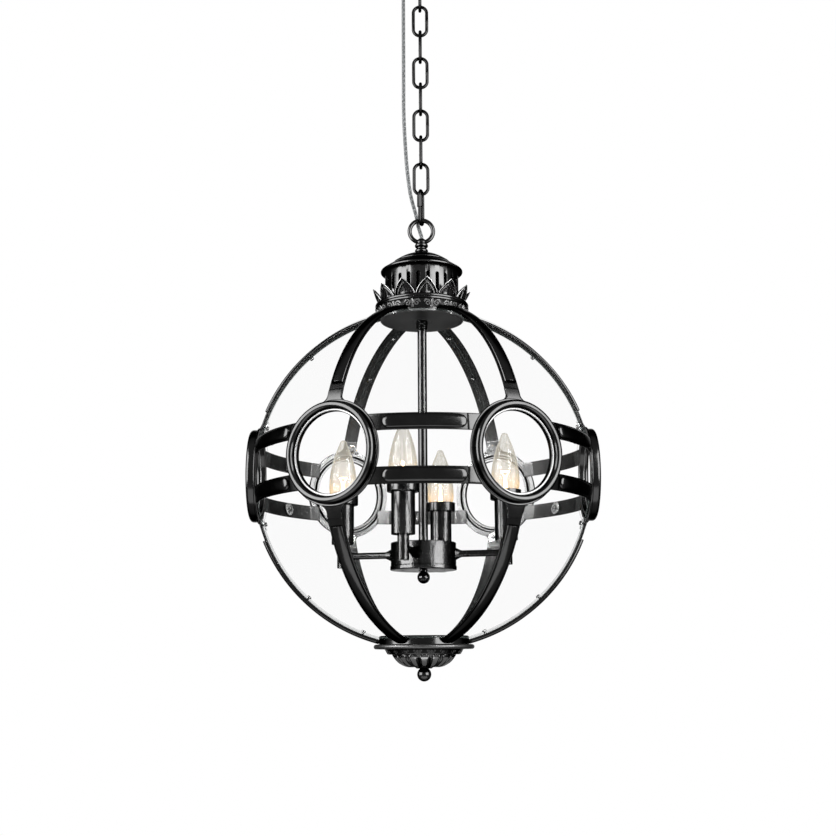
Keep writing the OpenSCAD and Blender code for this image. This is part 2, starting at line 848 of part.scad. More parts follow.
module canopy_loop() {
    color(black) difference() {
        union() {
            translate([0, 0, canopy_loop_z]) rotate([90, 0, 0]) rotate_extrude()
                translate([loop_r, 0]) circle(loop_wire / 2, $fn = 48);
            translate([0, 0, -canopy_h - collar_nut_h]) rotate_extrude() {
                square([collar_nut_r - 2, collar_nut_h]);
                translate([0, 2]) square([collar_nut_r, collar_nut_h - 2]);
                translate([collar_nut_r - 2, 2]) circle(2);
            }
        }
        translate([0, 0, -canopy_h - 3]) cylinder(r = nipple_r + run, h = 4);
    }
}

// The canopy's sheet, drawn in by a thickness
module canopy_shape(inset) {
    corner = canopy_corner - inset;
    hull_r = canopy_r - canopy_corner;
    translate([0, -canopy_h + inset]) square([hull_r, canopy_h - inset]);
    translate([0, -canopy_h + canopy_corner])
        square([canopy_r - inset, canopy_h - canopy_corner]);
    intersection() {
        translate([hull_r, canopy_corner - canopy_h]) circle(corner);
        translate([hull_r, -canopy_h]) square([canopy_corner, canopy_corner]);
    }
}

module canopy() {
    color(black) difference() {
        rotate_extrude($fn = 128) canopy_shape(0);
        rotate_extrude($fn = 128) {
            canopy_shape(sheet_t);
            square([canopy_r - sheet_t, 1]);
        }
        translate([0, 0, -canopy_h - 1]) cylinder(r = nipple_r + run, h = canopy_h);
        translate([gland_x, 0, -canopy_h - 1]) cylinder(r = cord_bore, h = canopy_h);
    }
}

module ceiling_bracket() {
    color("#8a8d90") difference() {
        translate([-bracket_l / 2, -bracket_w / 2, -bracket_t])
            cube([bracket_l, bracket_w, bracket_t]);
        translate([0, 0, -bracket_t - 1]) cylinder(r = nipple_r + run, h = bracket_t + 2);
        for (s = [-1, 1]) translate([s * bracket_pitch / 2, 0, -bracket_t - 1])
            cylinder(r = bracket_hole_r, h = bracket_t + 2, $fn = 48);
    }
}

// The threaded tube with its nut that joins the bracket to the hanging loop
module ceiling_nipple() {
    color("#8a8d90") difference() {
        union() {
            translate([0, 0, -canopy_h - 2.8]) cylinder(r = nipple_r, h = canopy_h + 2.8);
            translate([0, 0, -bracket_t - hex_h]) cylinder(r = hex_r, h = hex_h, $fn = 6);
        }
        translate([0, 0, -canopy_h - 4]) cylinder(r = nipple_r - 1.5, h = canopy_h + 5);
    }
}

module cord_grip() {
    color(gunmetal) translate([gland_x, 0, -canopy_h - gland_h]) difference() {
        rotate_extrude() {
            translate([0, 2]) square([gland_r, gland_h - 2]);
            square([gland_r - 2, gland_h]);
            translate([gland_r - 2, 2]) circle(2);
        }
        translate([0, 0, 1]) cylinder(r = wire_bore, h = gland_h);
    }
}

// A point on the smooth curve through the route's points
function smooth(p, i, t) =
    let (
        a = p[max(i - 1, 0)],
        b = p[i],
        c = p[min(i + 1, len(p) - 1)],
        d = p[min(i + 2, len(p) - 1)]
    )
    b + (c - a) * t / 2 + (a * 2 - b * 5 + c * 4 - d) * t ^ 2 / 2 + (b * 3 - a - c * 3 + d) * t ^ 3 / 2;

// The route with more points between the chosen ones
function smooth_route(p, n) = concat(
    [for (i = [0:len(p) - 2], k = [0:n - 1]) smooth(p, i, k / n)],
    [p[len(p) - 1]]
);

// A ring of points round a centre, square to a direction
function ring_points(centre, along, r, n) =
    let (
        u = cross(along, [0, 1, 0]) / norm(cross(along, [0, 1, 0])),
        v = cross(u, along) / norm(along)
    )
    [for (k = [0:n - 1]) centre + r * (cos(360 * k / n) * u + sin(360 * k / n) * v)];

// A closed tube swept along a route that runs square to its ends
module tube(route, r, n) {
    last = len(route) - 1;
    points = [
        for (i = [0:last])
            let (along = i == 0 || i == last ? [0, 0, -1] : route[i + 1] - route[i - 1])
            each ring_points(route[i], along, r, n)
    ];
    sides = [
        for (i = [0:last - 1], k = [0:n - 1])
            [i * n + k, i * n + (k + 1) % n, (i + 1) * n + (k + 1) % n, (i + 1) * n + k]
    ];
    polyhedron(
        points,
        concat([[for (k = [n - 1:-1:0]) k]], sides, [[for (k = [0:n - 1]) last * n + k]])
    );
}

module supply_cord() {
    color("#c9ccce") tube(smooth_route(cord_route, cord_steps), cord_d / 2, cord_sides);
}

// The inner plate, a shallow upturned dish that the lower ribs stop against
module lower_plate() {
    color(black) at_globe() difference() {
        translate([0, 0, -flange_top]) rotate_extrude($fn = 128) {
            square([plate_r, plate_h - 2]);
            square([plate_r - 2, plate_h]);
            translate([plate_r - 2, plate_h - 2]) circle(2);
        }
        translate([0, 0, -flange_top - 1])
            cylinder(r = plate_r - 3, h = plate_h - 1.5, $fn = 128);
    }
}

module lower_flange() {
    edge = flange_h / 2;
    color(black) at_globe() translate([0, 0, -tier_top]) rotate_extrude($fn = 128) {
        square([flange_r - edge, flange_h]);
        translate([flange_r - edge, edge]) circle(edge);
    }
}

// The ornament tier and the fluted dome below it
module lower_boss() {
    mid = [(dome_r + boss_collar_r) / 2, -dome_h / 2];
    run_in = [dome_r - boss_collar_r, dome_h];
    lean = norm(run_in);
    centre = mid + sqrt(dome_bow ^ 2 - (lean / 2) ^ 2) * [-run_in[1], run_in[0]] / lean;
    color(black) at_globe() difference() {
        union() {
            translate([0, 0, -dome_top]) rotate_extrude($fn = 128) {
                square([tier_r - 2, tier_h]);
                translate([0, 2]) square([tier_r, tier_h - 2]);
                translate([tier_r - 2, 2]) circle(2);
                intersection() {
                    translate(centre) circle(dome_bow, $fn = 180);
                    translate([0, -dome_h]) square([dome_r, dome_h]);
                }
                translate([0, -dome_h]) square([boss_collar_r, dome_h]);
            }
            translate([0, 0, -dome_top - dome_h - boss_collar_h])
                cylinder(r1 = boss_collar_r - 3, r2 = boss_collar_r, h = boss_collar_h);
        }
        for (a = [0:360 / flute_count:359]) azimuth(a)
            translate([centre[0], 0, centre[1] - dome_top]) meridian(-76, -15)
                translate([dome_bow + 0.3, 0]) circle(flute_r, $fn = 24);
    }
}

// The ball below the dome, with a small flat where it is screwed up to the collar
module lower_finial() {
    seat = dome_top + dome_h + boss_collar_h;
    color(black) at_globe() difference() {
        translate([0, 0, ball_flat - seat - ball_r]) sphere(ball_r);
        translate([0, 0, -seat]) cylinder(r = ball_r, h = ball_r);
    }
}

ceiling_bracket();
canopy();
ceiling_nipple();
canopy_loop();
cord_grip();
supply_cord();
for (i = [1:link_count]) chain_link(i);
quick_link();
quick_link_nut();
top_loop();
cap_dome();
vent_drum();
leaf_crown();
top_collar();
ornament_ring();
top_disc();
centre_nipple();
stem();
stem_nut();
hub_body();
hub_lid();
hub_finial();
for (i = [1:4]) lamp_arm(i);
for (i = [1:4]) candle_sleeve(i);
lamp_holders();
for (i = [1:4]) bulb(i);
for (i = [1:6]) port_ring(i);
upper_ribs();
lower_ribs();
upper_bands();
lower_bands();
upper_glass();
lower_glass();
lower_plate();
lower_flange();
lower_boss();
lower_finial();
glass_washers();
frame_screws();
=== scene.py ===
"""Globe lantern chandelier in gloss black nickel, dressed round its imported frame.

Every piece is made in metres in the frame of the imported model: +Z up, the origin on
the ceiling at the middle of the canopy, the front towards -Y. Sizes in the classes
are in millimetres, and heights in the lantern count from the middle of its globe.
"""

import logging
import math
from contextlib import contextmanager
from dataclasses import dataclass
from enum import Enum
from typing import Callable, Iterable, Iterator, Optional, Sequence, Union

import bpy
from mathutils import Matrix, Vector

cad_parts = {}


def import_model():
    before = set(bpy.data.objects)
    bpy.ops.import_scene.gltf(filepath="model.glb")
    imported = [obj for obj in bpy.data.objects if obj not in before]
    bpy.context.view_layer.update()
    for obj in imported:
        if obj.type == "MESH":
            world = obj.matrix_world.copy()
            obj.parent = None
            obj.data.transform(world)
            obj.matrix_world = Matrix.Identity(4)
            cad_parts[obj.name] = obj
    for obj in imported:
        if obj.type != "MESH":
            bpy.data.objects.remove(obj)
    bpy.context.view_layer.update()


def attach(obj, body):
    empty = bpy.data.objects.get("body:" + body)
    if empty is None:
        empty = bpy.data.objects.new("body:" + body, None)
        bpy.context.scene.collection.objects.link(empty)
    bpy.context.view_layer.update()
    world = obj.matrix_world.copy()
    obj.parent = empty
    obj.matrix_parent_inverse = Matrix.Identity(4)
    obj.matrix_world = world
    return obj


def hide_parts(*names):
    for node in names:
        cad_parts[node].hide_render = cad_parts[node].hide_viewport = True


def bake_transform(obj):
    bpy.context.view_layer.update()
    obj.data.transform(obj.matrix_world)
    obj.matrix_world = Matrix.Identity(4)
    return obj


LOG = logging.getLogger("lantern")
MM = 0.001
# How high the middle of the globe hangs, in millimetres, with the ceiling at 0.
GLOBE_Z = -850.9
# The angle from one port ring, rib or pane to the next.
PITCH = 60.0
# What is left between pieces that touch, in millimetres.
CLEAR = 0.02
# Points closer than this, in metres, are merged.
MERGE = 2e-6
# Steps round the wide turnings.
WIDE = 112
Point = tuple[float, float, float]
Flat = tuple[float, float]
Key = Union[str, int]
Face = bpy.types.MeshPolygon
Piece = bpy.types.Object
Socket = bpy.types.NodeSocket
Tree = bpy.types.NodeTree


# Finishes


class Surface(Enum):
    """How the surface of a finish was made, which decides its fine relief."""

    CAST = "cast and plated"
    SPUN = "spun on a lathe and plated"
    MOULDED = "moulded plastic"
    BLOWN = "blown or bent glass"
    RIBBED = "glass blown in a ribbed mould"
    WIRE = "drawn wire"


def linear(hex_colour: str) -> tuple[float, float, float, float]:
    """Turns an sRGB hex colour to linear light.

    Args:
        hex_colour: six digits after a hash sign.

    Returns:
        Red, green, blue and an alpha of 1.
    """
    parts = [int(hex_colour[i : i + 2], 16) / 255 for i in (1, 3, 5)]
    lit = [c / 12.92 if c <= 0.04045 else ((c + 0.055) / 1.055) ** 2.4 for c in parts]
    return (lit[0], lit[1], lit[2], 1.0)


def add_node(
    tree: Tree,
    kind: str,
    settings: Optional[dict[Key, object]] = None,
    links: Optional[dict[Key, Socket]] = None,
) -> bpy.types.Node:
    """Adds one shader node with its settings and its links.

    Args:
        tree: the material's node tree.
        kind: the node's type name.
        settings: attributes by name, and input values by name or by place.
        links: output sockets by the name or the place of the input that they feed.

    Returns:
        The new node.
    """
    node = tree.nodes.new(kind)
    for name, value in (settings or {}).items():
        if isinstance(name, int) or name in node.inputs.keys():
            node.inputs[name].default_value = value
        else:
            setattr(node, name, value)
    for name, socket in (links or {}).items():
        tree.links.new(socket, node.inputs[name])
    return node


# How strongly the finer layers of a noise count.
NOISE_ROUGH = 0.55
# The places of a Mix node's two colours and of its mixed colour.
COLOUR_A, COLOUR_B, COLOUR_MIXED = 6, 7, 2
# Relief that runs one way is drawn out by these shares: lathe lines and moulded ribs.
LATHE_DRAW, RIB_DRAW = 0.02, 0.06
# The width of a rib in the lamp glass, in millimetres, and how thin and thick it looks.
RIB_MM, RIB_DEPTH = 2.6, (0.2, 1.8)


@dataclass(frozen=True)
class Finish:
    """One finish, from the real material and how its surface was made.

    colour and tone are the two sRGB colours that it drifts between over patch_mm.
    grain_mm is the size of its finest relief and grain_um the height of it. mirror
    scales what clear or plain surfaces reflect when they are seen square on, and what
    metal reflects near its outline. see_through is for thin clear walls: how much of
    the wall is seen where it is square to the eye, and where it is edge on.
    """

    name: str
    colour: str
    tone: str
    roughness: float
    surface: Surface
    metallic: float = 0.0
    spread: float = 0.04
    patch_mm: float = 18.0
    grain_mm: float = 1.5
    grain_um: float = 4.0
    transmission: float = 0.0
    ior: float = 1.5
    mirror: float = 1.0
    glow: float = 0.0
    glow_colour: str = "#ffffff"
    painted_glow_from_mm: Optional[Flat] = None
    see_through: Optional[Flat] = None
    edge_on: Flat = (0.8, 0.98)

    def material(self) -> bpy.types.Material:
        """Returns the finish's material, made the first time that it is asked for."""
        found = bpy.data.materials.get(self.name)
        if found:
            return found
        made = bpy.data.materials.new(self.name)
        made.use_nodes = True
        tree = made.node_tree
        tree.nodes.clear()
        place = add_node(tree, "ShaderNodeTexCoord").outputs["Object"]
        patches = add_node(
            tree,
            "ShaderNodeTexNoise",
            {"Scale": 1 / (self.patch_mm * MM), "Detail": 3.0, "Roughness": NOISE_ROUGH},
            {"Vector": place},
        ).outputs["Fac"]
        colour = add_node(
            tree,
            "ShaderNodeMix",
            {"data_type": "RGBA", COLOUR_A: linear(self.colour), COLOUR_B: linear(self.tone)},
            {0: self.factor(tree, place, patches)},
        )
        rough = add_node(
            tree,
            "ShaderNodeMapRange",
            {
                "To Min": max(0.0, self.roughness - self.spread),
                "To Max": self.roughness + self.spread,
            },
            {"Value": patches},
        )
        shader = add_node(
            tree,
            "ShaderNodeBsdfPrincipled",
            {
                "Metallic": self.metallic,
                "IOR": self.ior,
                "Transmission Weight": self.transmission,
                "Specular Tint": (self.mirror, self.mirror, self.mirror, 1.0),
                "Emission Color": linear(self.glow_colour),
                "Emission Strength": self.glow,
            },
            {
                "Base Color": colour.outputs[COLOUR_MIXED],
                "Roughness": rough.outputs["Result"],
                "Normal": self.relief(tree, place),
            },
        )
        if self.see_through is not None:
            tree.links.new(self.opening(tree), shader.inputs["Alpha"])
        add_node(
            tree,
            "ShaderNodeOutputMaterial",
            links={"Surface": shader.outputs["BSDF"]},
        )
        return made

    def opening(self, tree: Tree) -> Socket:
        """Returns how much of a thin clear wall is seen, more where it is edge on."""
        facing = add_node(tree, "ShaderNodeLayerWeight", {"Blend": 0.5})
        ramp = add_node(
            tree,
            "ShaderNodeMapRange",
            {
                "interpolation_type": "SMOOTHSTEP",
                "From Min": self.edge_on[0],
                "From Max": self.edge_on[1],
                "To Min": self.see_through[0],
                "To Max": self.see_through[1],
            },
            {"Value": facing.outputs["Facing"]},
        )
        if self.surface is not Surface.RIBBED:
            return ramp.outputs["Result"]
        place = add_node(tree, "ShaderNodeTexCoord").outputs["Object"]
        upright = {"Scale": (1.0, 1.0, RIB_DRAW)}
        drawn = add_node(tree, "ShaderNodeMapping", upright, {"Vector": place})
        streaks = add_node(
            tree,
            "ShaderNodeTexNoise",
            {"Scale": 1 / (RIB_MM * MM), "Detail": 1.0, "Roughness": NOISE_ROUGH},
            {"Vector": drawn.outputs["Vector"]},
        )
        thin, thick = RIB_DEPTH
        depth = add_node(
            tree,
            "ShaderNodeMapRange",
            {"To Min": thin, "To Max": thick},
            {"Value": streaks.outputs["Fac"]},
        )
        both = add_node(
            tree,
            "ShaderNodeMath",
            {"operation": "MULTIPLY"},
            {0: ramp.outputs["Result"], 1: depth.outputs["Result"]},
        )
        return both.outputs["Value"]

    def factor(self, tree: Tree, place: Socket, patches: Socket) -> Socket:
        """Returns what mixes the two colours: the patches, or a height where one is given."""
        if self.painted_glow_from_mm is None:
            return patches
        height = add_node(tree, "ShaderNodeSeparateXYZ", links={"Vector": place})
        low, high = self.painted_glow_from_mm
        ramp = add_node(
            tree,
            "ShaderNodeMapRange",
            {
                "interpolation_type": "SMOOTHSTEP",
                "From Min": (GLOBE_Z + low) * MM,
                "From Max": (GLOBE_Z + high) * MM,
            },
            {"Value": height.outputs["Z"]},
        )
        return ramp.outputs["Result"]

    def relief(self, tree: Tree, place: Socket) -> Socket:
        """Returns the normal with the fine relief of the surface."""
        if self.surface is Surface.SPUN:
            # lathe lines run round the axis, so only the height counts
            place = add_node(
                tree,
                "ShaderNodeMapping",
                {"Scale": (LATHE_DRAW, LATHE_DRAW, 1.0)},
                {"Vector": place},
            ).outputs["Vector"]
        grain = add_node(
            tree,
            "ShaderNodeTexNoise",
            {"Scale": 1 / (self.grain_mm * MM), "Detail": 2.0, "Roughness": NOISE_ROUGH},
            {"Vector": place},
        )
        bump = add_node(
            tree,
            "ShaderNodeBump",
            {"Strength": 1.0, "Distance": self.grain_um * 1e-6},
            {"Height": grain.outputs["Fac"]},
        )
        return bump.outputs["Normal"]


# Black nickel is plated over polished castings: near black and mirror bright, with a
# faint cloudiness, so that a lamp shows as a soft-edged streak.
BLACK_NICKEL = Finish(
    "black_nickel_plate", "#171717", "#202020", 0.17, Surface.CAST, 1.0, mirror=0.3, grain_um=0.5
)
# The same plate on pressed and spun sheet keeps the fine rings of the lathe.
SPUN_NICKEL = Finish(
    "black_nickel_on_spun_steel", "#1b1b1b", "#262626", 0.2, Surface.SPUN, 1.0, mirror=0.15,
    grain_mm=0.6, grain_um=2.0
)
# On rolled sheet, and on what is cast small or left as cast, the plate is greyer and
# duller than on the polished castings: the disc, the scrolls and the rings' backs.
ROLLED_NICKEL = Finish(
    "black_nickel_on_rolled_sheet", "#343434", "#434343", 0.42, Surface.CAST, 1.0,
    mirror=0.4, patch_mm=30.0, grain_mm=0.8
)
# The backs of ribs and bands and the base flange are plated unpolished: dark and satin.
BACK_NICKEL = Finish(
    "black_nickel_on_unpolished_back", "#242424", "#323232", 0.4, Surface.CAST, 1.0,
    mirror=0.4, patch_mm=12.0
)
# A paler plate on the edges of the leaves and the backs of the petals is a painted highlight: it
# stands for the light that they catch as thin lines.
HIGHLIGHT_PAINTED_NICKEL = Finish(
    "nickel_with_painted_highlight", "#4a4a4a", "#5e5e5e", 0.24, Surface.CAST, 1.0, mirror=0.5, patch_mm=6.0
)
# The bead round a port gets a paler, duller plate as a painted highlight: its light spreads
# evenly.
BEAD_HIGHLIGHT_PAINTED = Finish(
    "bead_with_painted_highlight", "#4a4a4a", "#5a5a5a", 0.5, Surface.CAST, 1.0, mirror=0.35, patch_mm=20.0
)
# Chain wire is drawn, bent and barrel plated, and the darkest of the metals.
CHAIN_NICKEL = Finish(
    "barrel_plated_chain_wire", "#0a0a0a", "#141414", 0.22, Surface.WIRE, 1.0, mirror=0.1,
    patch_mm=9.0, grain_mm=0.5
)
# Screws and the small dark fittings are blacked steel with a satin face.
DARK_STEEL = Finish(
    "blacked_steel", "#3b3b3c", "#50504f", 0.3, Surface.CAST, 1.0, patch_mm=4.0, mirror=0.3
)
# Zinc plate is pale, a little blue, and blotchy under the canopy.
ZINC = Finish(
    "zinc_plated_steel", "#a9adb0", "#c2c5c6", 0.34, Surface.CAST, 1.0, patch_mm=6.0, grain_um=10.0
)
# Float glass bent over a mould: no colour of its own, a faint wave in reflections.
PANEL_GLASS = Finish(
    "bent_float_glass", "#2c3030", "#343938", 0.02, Surface.BLOWN, spread=0.01,
    grain_mm=60.0, grain_um=8.0, ior=1.02, see_through=(0.012, 0.8), edge_on=(0.92, 0.99)
)
# The ground edge of the glass is where its grey-green shows.
GLASS_EDGE = Finish(
    "ground_glass_edge", "#6c7875", "#8a9491", 0.2, Surface.BLOWN, grain_mm=2.0, ior=1.05,
    see_through=(0.2, 0.35)
)
# Acrylic washers: clear, softer in gloss than glass.
ACRYLIC = Finish(
    "clear_acrylic_washer", "#f6f8f8", "#ffffff", 0.05, Surface.MOULDED, transmission=0.9,
    ior=1.49, grain_um=2.0
)
# Lamp glass is blown thin in a ribbed mould: it shows as upright streaks. Its colour goes from
# grey at the tip to a painted warm glow low down, where the filament lights it, and a faint
# painted glow lifts the whole glass.
BULB_GLASS = Finish(
    "ribbed_lamp_glass", "#f8d79c", "#b4b4ac", 0.06, Surface.RIBBED, spread=0.02,
    grain_mm=3.0, grain_um=20.0, ior=1.3, glow=0.14, glow_colour="#fff0d4",
    painted_glow_from_mm=(-34.0, 6.0), see_through=(0.2, 0.75), edge_on=(0.2, 0.95)
)
# The glass stem inside the lamp is flooded with the filament's light.
LIT_STEM = Finish(
    "lit_lamp_stem", "#fff3dd", "#ffffff", 0.3, Surface.BLOWN, glow=6.0, glow_colour="#ffdc9c"
)
# Tungsten at lamp heat, far brighter than the room.
TUNGSTEN = Finish(
    "glowing_tungsten", "#ffe0b0", "#ffffff", 0.5, Surface.WIRE, glow=30.0, glow_colour="#ffd296"
)
# Plated brass screw cap: pale, fine and hard edged.
PLATED_CAP = Finish(
    "nickel_plated_cap", "#a8a69f", "#c4c2bb", 0.2, Surface.CAST, 1.0, patch_mm=3.0
)
# Thermoset holders are dull and brown-black.
THERMOSET = Finish("thermoset_holder", "#231f1c", "#2d2825", 0.5, Surface.MOULDED, grain_um=12.0)
# Clear PVC sheath, slightly milky, over the cores of the cord.
PVC = Finish(
    "clear_pvc_sheath", "#7b7e7f", "#939696", 0.2, Surface.MOULDED, ior=1.12, grain_um=8.0,
    see_through=(0.4, 0.9), edge_on=(0.1, 0.8)
)
# Tinned copper strands: fine, silvery and twisted.
TINNED = Finish("tinned_copper_cores", "#2a2b2c", "#414243", 0.4, Surface.WIRE, 1.0, patch_mm=1.2)


# The bench


def arc(centre: Flat, radius: float, start: float, stop: float, steps: int = 8) -> list[Flat]:
    """Returns points on a circle's arc.

    Args:
        centre: the circle's centre.
        radius: its radius.
        start: the first point's angle in degrees, from +X towards +Y.
        stop: the last point's angle.
        steps: how many chords the arc is made of.

    Returns:
        steps + 1 points.
    """
    turns = [math.radians(start + (stop - start) * i / steps) for i in range(steps + 1)]
    return [(centre[0] + radius * math.cos(t), centre[1] + radius * math.sin(t)) for t in turns]


def ridges(start: float, stop: float, near: Flat, pitch: float, rise: float) -> list[Flat]:
    """Returns the zigzag of a thread's outline.

    Args:
        start: the height of the first point.
        stop: the height that no ridge starts at or beyond.
        near: the radius that each ridge starts from and the one that it goes to.
        pitch: the height from one ridge to the next, less than 0 going down.
        rise: the height of a ridge, less than 0 going down.

    Returns:
        Two points for each ridge.
    """
    count = math.ceil((stop - start) / pitch)
    heights = [start + pitch * k for k in range(count)]
    return [point for z in heights for point in ((near[0], z), (near[1], z + rise))]


def bowed(start: Flat, stop: Flat, radius: float) -> Callable[[float], Flat]:
    """Returns the arc between two points that bulges to the left of the way between them.

    Args:
        start: the first point.
        stop: the last point.
        radius: the arc's radius.

    Returns:
        What takes a share of the arc to the point there.
    """
    a, b = Vector(start), Vector(stop)
    half = (b - a).length / 2
    along = (b - a).normalized()
    centre = (a + b) / 2 + math.sqrt(radius**2 - half**2) * Vector((along.y, -along.x))
    first = math.atan2(a.y - centre.y, a.x - centre.x)
    last = math.atan2(b.y - centre.y, b.x - centre.x)

    def at(share: float) -> Flat:
        """The point at a share of the arc."""
        turn = first + (last - first) * share
        return (centre.x + radius * math.cos(turn), centre.y + radius * math.sin(turn))

    return at


def turned_z(azimuth: float) -> Matrix:
    """The turn about +Z that takes +X to an azimuth in degrees, from the front to +X."""
    return Matrix.Rotation(math.radians(azimuth - 90), 4, "Z")


def raised(elevation: float) -> Matrix:
    """The turn that lifts +X to an elevation in degrees."""
    return Matrix.Rotation(math.radians(-elevation), 4, "Y")


# What lays a turning's axis along +X, and what mirrors the upper half to the lower.
STAND = raised(-90)
FLIP = Matrix.Scale(-1, 4, Vector((0, 0, 1)))
# What takes +X to the middle of each pane, and to each port ring.
PANES = [turned_z(PITCH * i) for i in range(6)]
PORTS = [turned_z(PITCH * i + PITCH / 2) for i in range(6)]
# The middle of the globe, in metres.
CENTRE = Vector((0, 0, GLOBE_Z * MM))


class Bench:
    """The hand operations that every sub-assembly is modelled with."""

    @staticmethod
    def pick(obj: Piece) -> None:
        """Selects one object alone and makes it active."""
        bpy.ops.object.select_all(action="DESELECT")
        obj.select_set(True)
        bpy.context.view_layer.objects.active = obj

    @staticmethod
    @contextmanager
    def editing(obj: Piece) -> Iterator[None]:
        """Edits one object, all of it selected, and then points its faces outwards."""
        Bench.pick(obj)
        bpy.ops.object.mode_set(mode="EDIT")
        bpy.ops.mesh.select_all(action="SELECT")
        yield
        bpy.ops.mesh.select_all(action="SELECT")
        bpy.ops.mesh.normals_make_consistent(inside=False)
        bpy.ops.object.mode_set(mode="OBJECT")

    @staticmethod
    def outline(name: str, points: Sequence[Sequence[float]], closed: bool) -> Piece:
        """Draws an edge line from a ring of points.

        Args:
            name: the object's name.
            points: radius and height, or full places, in millimetres.
            closed: whether the last point joins the first.

        Returns:
            The line, in object mode.
        """
        bpy.ops.object.select_all(action="DESELECT")
        bpy.ops.mesh.primitive_circle_add(vertices=len(points), fill_type="NOTHING")
        line = bpy.context.object
        line.name = name
        for vertex, point in zip(line.data.vertices, points):
            flat = len(point) == 2
            vertex.co = Vector((point[0], 0, point[1]) if flat else point) * MM
        if not closed:
            ends = {0, len(points) - 1}
            for edge in line.data.edges:
                edge.select = set(edge.vertices) == ends
            for vertex in line.data.vertices:
                vertex.select = False
            bpy.ops.object.mode_set(mode="EDIT")
            bpy.ops.mesh.select_mode(type="EDGE")
            bpy.ops.mesh.delete(type="EDGE")
            bpy.ops.mesh.select_mode(type="VERT")
            bpy.ops.object.mode_set(mode="OBJECT")
        return line

    @staticmethod
    def spin(line: Piece, turns: Iterable[tuple[float, Point, int]]) -> Piece:
        """Spins a line through one turn after another.

        Args:
            line: the line to spin.
            turns: angle in degrees, axis through the origin, and steps of each turn.

        Returns:
            The spun surface, its seams merged and its ends filled.
        """
        with Bench.editing(line):
            for angle, axis, steps in turns:
                # the operator turns against the right-hand rule
                about = {"center": (0, 0, 0), "axis": axis}
                bpy.ops.mesh.spin(steps=steps, angle=-math.radians(angle), **about)
            bpy.ops.mesh.select_all(action="SELECT")
            bpy.ops.mesh.remove_doubles(threshold=MERGE)
            bpy.ops.mesh.fill_holes(sides=0)
        return line

    @staticmethod
    def lathe(name: str, points: Sequence[Flat], steps: int = 96, closed: bool = False) -> Piece:
        """Turns a profile of radius and height into a solid about +Z."""
        line = Bench.outline(name, points, closed)
        return Bench.spin(line, [(360, (0, 0, 1), steps)])

    @staticmethod
    def grid(
        name: str,
        columns: int,
        rows: int,
        place: Callable[[float, float], Point],
        wrap: bool = False,
    ) -> Piece:
        """Shapes a grid by giving each of its points a place.

        Args:
            name: the object's name.
            columns: faces across.
            rows: faces up.
            place: takes shares from 0 to 1 across and up to a place in millimetres.
            wrap: whether the left edge meets the right one.

        Returns:
            The shaped sheet.
        """
        bpy.ops.object.select_all(action="DESELECT")
        bpy.ops.mesh.primitive_grid_add(x_subdivisions=columns, y_subdivisions=rows, size=1)
        sheet = bpy.context.object
        sheet.name = name
        for vertex in sheet.data.vertices:
            across, up = vertex.co.x + 0.5, vertex.co.y + 0.5
            vertex.co = Vector(place(across, up)) * MM
        if wrap:
            Bench.weld(sheet)
        return sheet

    @staticmethod
    def ring(major: float, minor: float, segments: tuple[int, int], height: float = 0.0) -> Piece:
        """Adds an upright wire ring in the XZ plane.

        Args:
            major: its radius to the middle of the wire, in millimetres.
            minor: the wire's radius.
            segments: how many steps go round the ring and round the wire.
            height: how high its middle is.

        Returns:
            The ring.
        """
        bpy.ops.object.select_all(action="DESELECT")
        bpy.ops.mesh.primitive_torus_add(
            rotation=(math.radians(90), 0, 0),
            location=(0, 0, height * MM),
            major_segments=segments[0],
            minor_segments=segments[1],
            major_radius=major * MM,
            minor_radius=minor * MM,
        )
        bpy.ops.object.transform_apply()
        return bpy.context.object

    @staticmethod
    def block(size: Point, place: Point, turn: float = 0.0) -> Piece:
        """Adds a block at a place, in millimetres, turned in degrees about +Z."""
        bpy.ops.object.select_all(action="DESELECT")
        bpy.ops.mesh.primitive_cube_add(size=1, location=Vector(place) * MM)
        block = bpy.context.object
        block.scale = Vector(size) * MM
        block.rotation_euler = (0, 0, math.radians(turn))
        bpy.ops.object.transform_apply()
        return block

    @staticmethod
    def face(sheet: Piece, outwards: Callable[[Vector], Vector]) -> None:
        """Turns a sheet over if its faces look the wrong way.

        Args:
            sheet: the sheet.
            outwards: takes a face's middle to the way that the face should look.
        """
        if sum(p.normal.dot(outwards(p.center)) for p in sheet.data.polygons) < 0:
            sheet.data.flip_normals()

    @staticmethod
    def weld(obj: Piece, limit: float = MERGE) -> Piece:
        """Merges doubled points and points the faces outwards."""
        with Bench.editing(obj):
            bpy.ops.mesh.remove_doubles(threshold=limit)
            bpy.ops.mesh.delete_loose(use_verts=True, use_edges=True, use_faces=False)
        return obj

    @staticmethod
    def apply(obj: Piece, kind: str, **settings: object) -> Piece:
        """Adds a modifier with its settings and applies it."""
        Bench.pick(obj)
        modifier = obj.modifiers.new(kind.lower(), kind)
        for name, value in settings.items():
            setattr(modifier, name, value)
        bpy.ops.object.modifier_apply(modifier=modifier.name)
        return obj

    @staticmethod
    def thicken(obj: Piece, wall: float, offset: float) -> None:
        """Gives a sheet a wall in millimetres, outwards at offset 1 and inwards at -1."""
        Bench.apply(obj, "SOLIDIFY", thickness=wall * MM, offset=offset, use_even_offset=True)

    @staticmethod
    def soften(obj: Piece, width: float, segments: int = 2, above: float = 40.0) -> Piece:
        """Rounds the edges that are sharper than an angle in degrees."""
        limit = {"limit_method": "ANGLE", "angle_limit": math.radians(above)}
        return Bench.apply(obj, "BEVEL", width=width * MM, segments=segments, **limit)

    @staticmethod
    def cut(obj: Piece, tool: Piece) -> None:
        """Cuts a tool's shape out of a piece and throws the tool away."""
        Bench.apply(obj, "BOOLEAN", operation="DIFFERENCE", solver="EXACT", object=tool)
        bpy.data.objects.remove(tool)

